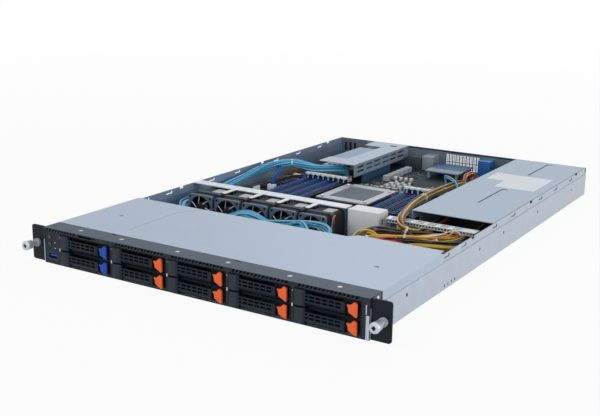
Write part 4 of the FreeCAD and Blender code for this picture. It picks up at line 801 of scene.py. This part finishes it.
def latches():
    """Release tabs: a hooked face with a slanted lower edge on a stem painted dark red as shade."""
    face = ((-3.4, 0.0), (0.0, -1.6), (0.0, -15.0), (-1.0, -15.5), (-9.2, -11.2), (-9.7, -6.8), (-11.4, -3.9),
            (-6.8, -3.5))
    for number in range(1, CARRIERS + 1):
        node = f"carrier_latch_{number}"
        low, high = span(node)
        outline = [(high.x + across, high.z + up) for across, up in face]
        tab = Form().prism(outline, low.y, low.y + 2.6, "y", 0.35)
        look, slot = (BLUE, "latch_blue") if number <= BLUE_LATCHES else (ORANGE, "latch_orange")
        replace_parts(tab.piece(node + "_tab", look, node, slot=slot), node)
        right, left = high.x - 1.2, high.x - 8.4
        outline = [(right, high.z - 2.6), (right, low.z + 1.6), (left, low.z + 5.0), (left, high.z - 4.6)]
        Form().prism(outline, low.y + 2.4, high.y, "y", 0.2).piece(node + "_stem", LATCH_SHADE, node)


def vent_teeth():
    """Slanted notches along the top edge of the front and a slot for a tag, in painted shade, each notch with
    a lip in a lighter grey as a painted highlight.
    """
    notches, lip_highlights = Form(), Form()
    front, top, pitch, deep = CAGE_LOW.y, CAGE_HIGH.z, 4.7, 3.4
    starts = [PANEL_LOW.x + 2.0]
    starts += [span(f"drive_carrier_{2 * column + 1}")[0].x + 4.2 for column in range(1, COLUMNS)]
    for group, start in enumerate(starts):
        for step in range(10 if group == 0 else 15):
            left = start + step * pitch
            base = top - deep
            notch = [(left, base), (left + 2.4, base), (left + 3.3, top - 0.5), (left + 0.9, top - 0.5)]
            notches.prism(notch, front - 0.04, front + 0.4, "y")
            lip = [(left + 1.5, base - 0.3), (left + 2.9, base - 0.3), (left + 3.1, base + 0.8)]
            lip_highlights.prism(lip, front - 0.3, front + 0.2, "y")
    notches.box((-158.0, front - 0.06, top - 2.6), (-137.0, front + 0.2, top - 1.4))
    notches.piece("vent_teeth", SHADE_BLACK, smooth=False)
    lip_highlights.piece("vent_lip_highlights", TRIM, smooth=False)


def trim_details():
    front, top = CAGE_LOW.y, CAGE_HIGH.z
    spots = [(x, front + 13, top) for x in (-170.8, -107.9, -26.7, 41.7, 119.5, 178.0)]
    screw_heads("trim_screws", spots, 2.6, 0.25, UP, CAN)
    pins, windows = [], Form()
    for column in range(COLUMNS):
        low, high = span(f"drive_carrier_{2 * column + 1}")
        upper, _ = span(f"drive_carrier_{2 * column + 2}")
        x, z = low.x - 2.2, high.z + 0.4
        pins.append((x, front, upper.z + 14))
        window = ((-0.8, -1.4), (0, -2.0), (0.8, -1.4), (0.8, 1.4), (0, 2.0), (-0.8, 1.4))
        windows.prism([(x + a, z + b) for a, b in window], front - 0.5, front + 0.2, "y", 0.15)
    screw_heads("mullion_pins", pins, 0.8, 0.4, FORWARD, CERAMIC)
    windows.piece("mullion_windows", CLEAR_PAINTED_GLOW)
    strips = Form()
    for left, right, base, end in ((215.0, 218.7, 0.3, 25.4), (214.6, 215.8, 26.6, 36.2),
                                   (-218.9, -217.8, 0.3, 28.6)):
        strips.box((left, front - 0.4, base), (right, front + 0.1, end), 0.15)
    strips.piece("pan_edges", STRIP_STEEL)
    side = CAGE_HIGH.x
    flap = [(-1.5, top - 0.7), (16.2, top - 0.7), (16.2, top - 7.0)]
    Form().prism(flap, side - 0.1, side + 0.2, "x").piece("trim_flap", TRIM)
    screw_heads("trim_side_screw", [(side + 0.2, 10.4, top - 3.6)], 2.0, 0.7, (1, 0, 0))


def panel_details():
    left, front = PANEL_LOW.x, PANEL_LOW.y
    lamps = Form()
    for z in (26.9, 19.9):
        lamps.box((left + 14.2, front - 0.1, z - 0.7), (left + 15.6, front + 1.4, z + 0.7), 0.2)
    lamps.piece("panel_lamps", CLEAR_PAINTED_GLOW)
    port = Form()
    port.box((left + 5.4, front + 1.2, 9.6), (left + 16.0, front + 9, 11.2), 0.2)
    for step in range(4):
        contact = left + 6.6 + 2.4 * step
        port.box((contact, front + 1.5, 9.4), (contact + 1, front + 8, 9.7), 0.05)
    port.piece("port_tongue", PORT_BLUE)
    rim = Form()
    near, far, base, top, half = left + 4.0, left + 17.6, 6.6, 13.9, 0.25
    for x, z, end_x, end_z in ((near, base, far, base), (far, base, far, top), (near, top, far, top),
                               (near, base, near, top)):
        rim.box((x - half, front - 0.12, z - half), (end_x + half, front + 0.2, end_z + half), 0.1)
    rim.piece("port_rim", SLOT_BLUE)


thumbscrews()
levers()
latches()
vent_teeth()
trim_details()
panel_details()


# Sheet metal: seams, dimples, a blank label, the rear vent, the riser's shelf and the bridge's lip

def cover_details():
    top = COVER_HIGH.z
    # Painted shade: the crease line and the dimples are drawn in a dark grey.
    crease = [(-126.9, 41.8), (-130.9, 131.6), (-118.5, 154.2), (-101.5, 175.6)]
    seam = Form()
    for (x, y), (end_x, end_y) in zip(crease, crease[1:]):
        line = [(x - 0.4, y), (x + 0.4, y), (end_x + 0.4, end_y), (end_x - 0.4, end_y)]
        seam.prism(line, top - 0.1, top + 0.04)
    seam.piece("cover_seam", SHADE_GREY)
    screw_heads("cover_dimples", [(x, 84.5, top - 0.02) for x in (-177.0, 178.7)], 2.8, 0.2, UP, SHADE_GREY)
    middle, roof = (SUPPLY_HIGH.x + SUPPLY_RIGHT_LOW.x) / 2, PSU_HIGH.z
    outline = [(145, 506), (203, 506), (203, 592), (117, 592), (117, 548), (145, 548)]
    Form().prism(outline, roof - 0.05, roof + 0.12).piece("supply_label", PAPER)
    # Painted shade: the supply cover's slots are near-black strips on its top.
    slots = Form()
    for start in (PSU_HIGH.y - 104, PSU_HIGH.y - 300):
        hook = ((-0.9, 0), (0.9, 0), (0.9, 89), (7, 89), (7, 92), (-0.9, 92))
        slots.prism([(middle + a, start + b) for a, b in hook], roof - 0.3, roof + 0.04)
    slots.piece("supply_slots", SHADE_BLACK, smooth=False)


def wall_dimples():
    """Pressed rings in the outer walls, and painted shade in the right wall's notches and at its rear corner.
    """
    rings, centres = Form(), Form()
    for side in (-1, 1):
        for y in (273.0, 481.0, 632.0):
            spot = (side * PAN_HIGH.x, y, 21.5)
            rings.lathe([(3.0, -0.1), (3.0, 0.12), (2.5, 0.2), (1.6, 0.1)], spot, (side, 0, 0), 28)
            centres.lathe([(1.7, -0.1), (1.7, 0.14), (0.2, 0.14)], spot, (side, 0, 0), 20)
    rings.piece("wall_dimples", PAN_STEEL)
    centres.piece("wall_dimple_centres", FAN_BLACK)
    shades, top = Form(), 41.9
    for y in (449.0, 651.0):
        shades.box((216.6, y + 0.2, 39.2), (217.75, y + 7.8, top), 0.1)
    shades.box((217.9, 701.6, 34.0), (218.3, 704.9, top), 0.1)
    shades.piece("wall_notch_painted_shade", SHADE_BLACK)


def rear_mesh():
    """Fine bars across the rear vent in a painted shade grey, painted shade strips at its top and in the left
    slots, and a corner strip.
    """
    bars = Form()
    near, far = REAR_LOW.y + 0.2, REAR_HIGH.y - 0.2
    vent_left, slot_pitch, slot_middle, row_pitch = -15, 6, 2.1, 2.32
    for step in range(10):
        x = vent_left + slot_pitch * step + slot_middle
        bars.box((x - 0.35, near, 11.0), (x + 0.35, far, 36.2))
    for base in (11.2, 24.4):
        for row in range(1, 5):
            z = base + row * row_pitch
            bars.box((vent_left - 0.5, near, z - 0.3), (43.5, far, z + 0.3))
    bars.piece("rear_mesh", SHADE_GREY, smooth=False)
    shade_strips = Form()
    shade_strips.box((-84.0, near - 0.9, REAR_HIGH.z - 2.6), (104.0, near - 0.2, REAR_HIGH.z - 1.0), 0.2)
    shade_strips.box((-212.5, near + 0.1, 18.5), (-186.0, far - 0.1, 36.5))
    shade_strips.piece("rear_painted_shade", FAN_BLACK)
    strip = Form().box((-217.7, near, 1.4), (REAR_LOW.x + 0.2, far, REAR_HIGH.z - 0.2))
    strip.piece("rear_corner_strip", PAN_STEEL)


def riser_shelf():
    """The sunk part of the riser's top, tucked under the rims round its cut-out and open towards the rear, in
    a darker steel as painted shade.
    """
    left, front, top = RISER_LOW.x + 0.2, RISER_LOW.y + 33, RISER_HIGH.z - 1.1
    right, deep, thick = RISER_HIGH.x - 29, 102, 0.9
    shelf = Form().box((left, front, top - thick), (right, front + deep, top), 0.15)
    shelf.piece("riser_shelf", SHELF_SHADE)


def bridge_lip():
    """A ladder of slots along the front edge of the cable bridge."""
    left, right, near, top = 82.8, 204.2, 290.6, 34.2
    form = Form()
    form.box((left, near, top - 1.2), (right, near + 0.8, top), 0.15)
    form.box((left, near, top - 5.0), (right, near + 0.8, top - 3.8), 0.15)
    pitch = 4.2
    for step in range(int((right - left) / pitch) + 1):
        x = left + step * pitch
        form.box((x, near + 0.1, top - 4.2), (min(x + 1.7, right), near + 0.7, top - 0.8), 0.1)
    form.piece("bridge_lip", GALVANISED)


cover_details()
wall_dimples()
rear_mesh()
riser_shelf()
bridge_lip()


# Board: slots, socket, ports and components

BANK = 8
MEMORY_PITCH = 9.14
MEMORY_BANKS = (CONN_LOW.x + 3.2, LOAD_HIGH.x + 15.0)


def memory_places():
    """Each memory slot's number in its bank, and its middle."""
    return [(index, bank + index * MEMORY_PITCH) for bank in MEMORY_BANKS for index in range(BANK)]


def memory_slots():
    blue, black = Form(), Form()
    foot = BOARD_TOP
    front, rear = CONN_LOW.y, 499.0
    for index, x in memory_places():
        form = black if index % 2 else blue
        for side in (-1, 1):
            near, far = sorted((x + side * 0.9, x + side * 3.2))
            form.box((near, front, foot), (far, rear - 8, foot + 9), 0.35)
            near, far = sorted((x + side * 2.3, x + side * 3.2))
            form.box((near, rear - 9, foot), (far, rear, foot + 13), 0.3)
        form.box((x - 0.9, front, foot), (x + 0.9, rear - 8, foot + 3.5))
        form.box((x - 0.9, front + 63, foot + 3.4), (x + 0.9, front + 66, foot + 8.6))
        form.box((x - 3.2, front, foot), (x + 3.2, front + 5, foot + 13), 0.5)
    slots = blue.piece("memory_slots_blue", SLOT_BLUE, slot="connector")
    black.piece("memory_slots_black", SLOT_BLACK, slot="connector")
    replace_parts(slots, "board_connectors")


def latch_heads():
    """Broad white heads on the memory latches, almost touching along each bank."""
    low, high = span("dimm_latches")
    form = Form()
    for _, x in memory_places():
        form.box((x - 4.1, low.y - 0.4, high.z - 2.2), (x + 4.1, high.y + 0.6, high.z + 0.5), 0.6)
        form.box((x - 2.6, high.y - 0.2, high.z - 1.6), (x + 2.6, high.y + 1.6, high.z - 0.2), 0.4)
    form.piece("memory_latch_heads", WHITE, "dimm_latches", slot="white_plastic")


def socket_cap():
    foot = BOARD_TOP
    cap = Form()
    low, high = LOAD_LOW, LOAD_HIGH
    cap.box((low.x + 6, low.y + 6, foot), (high.x - 6, high.y - 8.4, foot + 6.0), 0.6)
    cap.box((low.x + 14, low.y + 17, foot), (high.x - 14, high.y - 15.6, foot + 9.2), 0.8)
    for step in range(9):
        y = low.y + 22 + step * 6.4
        cap.box((low.x + 18, y, foot + 9), (high.x - 18, y + 3.2, foot + 9.7), 0.3)
    cap.piece("socket_cap", CAP_GREY, slot="connector")
    spots = [(x, y, high.z) for x in (low.x + 7, high.x - 7) for y in (low.y + 8, high.y - 12)]
    screw_heads("frame_screws", spots, 2.8, 1.6, UP, NICKEL, "cpu_load_frame")


def port_shell(form, left, width, tall):
    """A port block with two open mouths at the rear."""
    near, far, foot = BOARD_HIGH.y - 14, CONN_HIGH.y, BOARD_TOP
    right, deep, top = left + width, far - 9, foot + tall
    form.box((left, near, foot), (right, deep, top), 0.4)
    for wall in (left, right - 1.6):
        form.box((wall, deep - 0.5, foot), (wall + 1.6, far, top), 0.2)
    for shelf in (foot, foot + (tall - 2) / 2, top - 1.4):
        form.box((left + 1.4, deep - 0.5, shelf), (right - 1.4, far, shelf + 1.4), 0.2)


def rear_ports():
    for name, left, width, tall, material in (
            ("dark", LOAD_LOW.x + 13, 20, 20.5, PORT_DARK), ("grey", LOAD_LOW.x + 35, 20, 23.5, CERAMIC),
            ("blue", LOAD_HIGH.x + 50, 21, 27.5, PORT_BLUE)):
        shell = Form()
        port_shell(shell, left, width, tall)
        shell.piece(f"rear_port_{name}", material)


def capacitors():
    cans, sleeves = Form(), Form()
    spots = [(-146 + 9.5 * step, 336) for step in range(7)] + [(2 + 9.5 * step, 318) for step in range(3)]
    spots += [(-46 + 9 * step, 578) for step in range(4)] + [(4, 512 + 9 * step) for step in range(3)]
    for x, y in spots:
        foot = (x, y, BOARD_TOP), UP, 24
        sleeves.lathe([(3.5, 0.0), (3.5, 0.9), (3.2, 1.1), (3.2, 2.0)], *foot)
        cans.lathe([(3.2, 1.9), (3.2, 7.6), (2.9, 8.2), (2.3, 8.2), (2.2, 8.0), (0.3, 8.0)], *foot)
    cans.piece("capacitor_cans", CAN)
    sleeves.piece("capacitor_bases", CHIP)


def coils():
    """Square chokes in front of the socket, each with its switches."""
    chokes, switches = Form(), Form()
    for step in range(7):
        x = LOAD_LOW.x + 8 + 11.4 * step
        chokes.stand(x, 372.5, 8.8, 9, 6.5, 0.7)
        switches.stand(x, 383, 5.2, 6, 1.1, 0.15)
    chokes.piece("socket_chokes", CERAMIC)
    switches.piece("socket_switches", CHIP)


def chips():
    packages = Form()
    for place in (
            (-192, 326, 14, 14, 1.6), (-170, 330, 10, 8, 1.4), (-60, 330, 20, 20, 1.8),
            (-28, 342, 12, 9, 1.5), (-190, 384, 12, 12, 1.5), (-186, 440, 16, 10, 1.5),
            (56, 588, 22, 22, 2.0), (84, 640, 14, 10, 1.6), (22, 560, 14, 14, 1.6),
            (-66, 522, 10, 10, 1.5), (40, 524, 12, 18, 1.6)):
        packages.stand(*place, 0.2)
    for step in range(5):
        x = -158 + 8.6 * step
        packages.box((x, 554, CARD_TOP), (x + 5.4, 559, CARD_TOP + 1.2), 0.15)
    packages.box((-146, 606, CARD_TOP), (-128, 624, CARD_TOP + 1.8), 0.25)
    packages.piece("board_chips", CHIP)


def regulator_cluster():
    """Chokes and tall cans packed behind the socket."""
    blocks, cans = Form(), Form()
    for row in range(3):
        for column in range(3):
            x, y = -38 + 11 * column + 2 * row, 516 + 12 * row
            blocks.stand(x, y, 8.4, 8.4, 6.0 + row, 0.8)
            cans.lathe([(2.6, 0.0), (2.6, 8.6), (2.3, 9.2), (1.6, 9.2), (1.5, 9.0), (0.3, 9.0)],
                       (x + 5.6, y + 6.0, BOARD_TOP), UP, 20)
    blocks.piece("regulator_chokes", CERAMIC)
    cans.piece("regulator_cans", CAN)


PLACEMENT = 3.3


def free_spots(areas, room):
    """Spots on the placement grid, about one for each room of some areas, drawn at random and never twice."""
    found = []
    for low, high in areas:
        for _ in range(round((high[0] - low[0]) * (high[1] - low[1]) / room)):
            spot = tuple(PLACEMENT * round(rng.uniform(a, b) / PLACEMENT) for a, b in zip(low, high))
            if spot not in found:
                found.append(spot)
    return found


def scatter(forms, spots, sizes, lowest, highest, edge=0.0):
    """Stands a box of a random size on each spot, in one of the forms."""
    for x, y in spots:
        wide, deep = rng.choice(sizes)
        tall = rng.uniform(lowest, highest)
        form = rng.choice(forms) if len(forms) > 1 else forms[0]
        form.stand(x, y, wide, deep, tall, edge)


def small_parts():
    """Resistors and ceramic capacitors in the board's free areas, and brighter parts round the socket."""
    forms = [Form(), Form(), Form()]
    areas = (((-208, 308), (-166, 500)), ((-84, 308), (28, 362)), ((-82, 498), (8, 566)),
             ((-48, 586), (-24, 676)), ((12, 506), (72, 576)), ((42, 602), (98, 676)),
             ((-156, 346), (-92, 354)))
    sizes = (0.8, 1.6), (1.6, 0.8), (1.2, 2.4), (2.4, 1.2), (2.6, 3.2)
    scatter(forms, free_spots(areas, 60), sizes, 0.5, 1.2)
    for form, name, material in zip(forms, ("grey", "tan", "black"), (CERAMIC, TAN, CHIP)):
        form.piece(f"small_parts_{name}", material, smooth=False)
    bright = Form()
    areas = (((-84, 499), (-44, 530)), ((-14, 499), (26, 530)), ((32, 524), (76, 566)),
             ((-84, 308), (-66, 362)))
    sizes = (1.4, 2.6), (2.6, 1.4), (2.6, 2.6), (3.0, 2.0)
    scatter([bright], free_spots(areas, 34), sizes, 1.0, 3.2, 0.15)
    bright.piece("small_parts_bright", CAN)


def pin_headers():
    bases, pins = Form(), Form()
    for x, y, columns, rows in ((94, 380, 2, 12), (94, 440, 2, 8), (-208, 520, 2, 10), (58, 636, 2, 9)):
        pitch = 2.54
        far = (x + pitch * columns, y + pitch * rows, BOARD_TOP + 2.5)
        bases.box((x - pitch, y - pitch, BOARD_TOP), far, 0.3)
        for column in range(columns):
            for row in range(rows):
                pins.stand(x + column * pitch, y + row * pitch, 0.64, 0.64, 8.5, 0.1)
    bases.piece("pin_header_bases", CHIP)
    pins.piece("header_pins", GOLD)


def board_screws():
    spots = [(x, y, BOARD_TOP) for x in (-206, -90, 22, 96) for y in (309, 510)] + [(96, 686, BOARD_TOP)]
    screw_heads("board_screws", spots, 3.0, 1.8, UP)


memory_slots()
latch_heads()
socket_cap()
rear_ports()
capacitors()
coils()
chips()
regulator_cluster()
small_parts()
pin_headers()
board_screws()
swinging_wires()


# Camera, light and floor

AZIMUTH, ELEVATION, ROLL = math.radians(31.919), math.radians(14.904), math.radians(0.730)
CAMERA_PLACE = (0.62609, -0.78768, 0.36624)
SENSOR, LENS = 36.0, 58.64
LIT_SPOT = Vector((0, 0.3, 0))
SKY_COLOUR, SKY_STRENGTH = (0.93, 0.96, 1.0, 1.0), 0.30
FLOOR_REACH, FLOOR_DROP, FLOOR_COLOUR = 6.0, 0.0005, (0.86, 0.86, 0.86, 1.0)
FADE_NEAR, FADE_FAR, FADE_LEAST = 0.9, 3.0, 0.92
PURE_WHITE = (1.0, 1.0, 1.0, 1.0)


def camera():
    flat = math.cos(ELEVATION)
    back = Vector((math.sin(AZIMUTH) * flat, -math.cos(AZIMUTH) * flat, math.sin(ELEVATION)))
    level = Vector(UP).cross(back).normalized()
    raised = back.cross(level)
    right = math.cos(ROLL) * level + math.sin(ROLL) * raised
    up = -math.sin(ROLL) * level + math.cos(ROLL) * raised
    lens = bpy.data.cameras.new("camera")
    lens.sensor_width = SENSOR
    lens.lens = LENS
    lens.clip_start = 0.01
    eye = placed("camera", lens)
    turn = Matrix((right, up, back)).transposed().to_4x4()
    eye.matrix_world = Matrix.Translation(CAMERA_PLACE) @ turn
    bpy.context.scene.camera = eye


def lamps():
    for name, spot, size, power in (
            ("key", (-0.9, -1.2, 1.9), 2.0, 16.0), ("side", (2.3, 0.1, 0.45), 1.4, 26.0),
            ("rear", (-0.3, 1.9, 1.7), 2.0, 10.0), ("front", (0.4, -2.3, 0.5), 1.4, 13.0)):
        lamp = bpy.data.lights.new(name, "AREA")
        lamp.size = size
        lamp.energy = power
        item = placed(name, lamp)
        item.location = spot
        item.rotation_euler = (LIT_SPOT - Vector(spot)).to_track_quat("-Z", "Y").to_euler()


def seen_directly(tree):
    """1 for rays from the camera or off a glossy or clear surface, else 0."""
    rays = add(tree, "LightPath").outputs
    either = maths(tree, "MAXIMUM", rays["Is Camera Ray"], rays["Is Glossy Ray"])
    return maths(tree, "MAXIMUM", either, rays["Is Transmission Ray"])


def blend(tree, share, first, second, end):
    """Sends a mix of two shaders to an output."""
    mix = add(tree, "MixShader")
    for source, slot in zip((share, first.outputs[0], second.outputs[0]), mix.inputs):
        wire(tree, source, slot)
    wire(tree, mix.outputs[0], tree.nodes[end].inputs["Surface"])


def sky():
    """A pale sky that lights the part and is white where it is seen."""
    world = bpy.data.worlds.new("studio")
    bpy.context.scene.world = world
    world.use_nodes = True
    tree = world.node_tree
    light = tree.nodes["Background"]
    light.inputs["Color"].default_value = SKY_COLOUR
    light.inputs["Strength"].default_value = SKY_STRENGTH
    blend(tree, seen_directly(tree), light, add(tree, "Background", Color=PURE_WHITE), "World Output")


def ground():
    """A white floor that keeps the part's shadow and fades into the backdrop."""
    data = bpy.data.meshes.new("floor")
    corners = [(-1, -1), (1, -1), (1, 1), (-1, 1)]
    data.from_pydata([(FLOOR_REACH * x, FLOOR_REACH * y, 0) for x, y in corners], [], [(0, 1, 2, 3)])
    item = placed("floor", data)
    item.location.z = cad_low.z - FLOOR_DROP
    finish = bpy.data.materials.new("floor_white")
    finish.use_nodes = True
    tree = finish.node_tree
    shader = tree.nodes["Principled BSDF"]
    shader.inputs["Base Color"].default_value = FLOOR_COLOUR
    shader.inputs["Roughness"].default_value = 0.9
    distance = maths(tree, "LENGTH", add(tree, "TexCoord").outputs["Object"], kind="VectorMath")
    fade = add(tree, "MapRange", From_Min=FADE_NEAR, From_Max=FADE_FAR, To_Min=FADE_LEAST, To_Max=1.0)
    wire(tree, distance, fade.inputs["Value"])
    share = maths(tree, "MULTIPLY", seen_directly(tree), fade.outputs["Result"])
    blend(tree, share, shader, add(tree, "Emission", Color=PURE_WHITE), "Material Output")
    data.materials.append(finish)


camera()
lamps()
sky()
ground()
bpy.context.scene.view_settings.view_transform = "Standard"
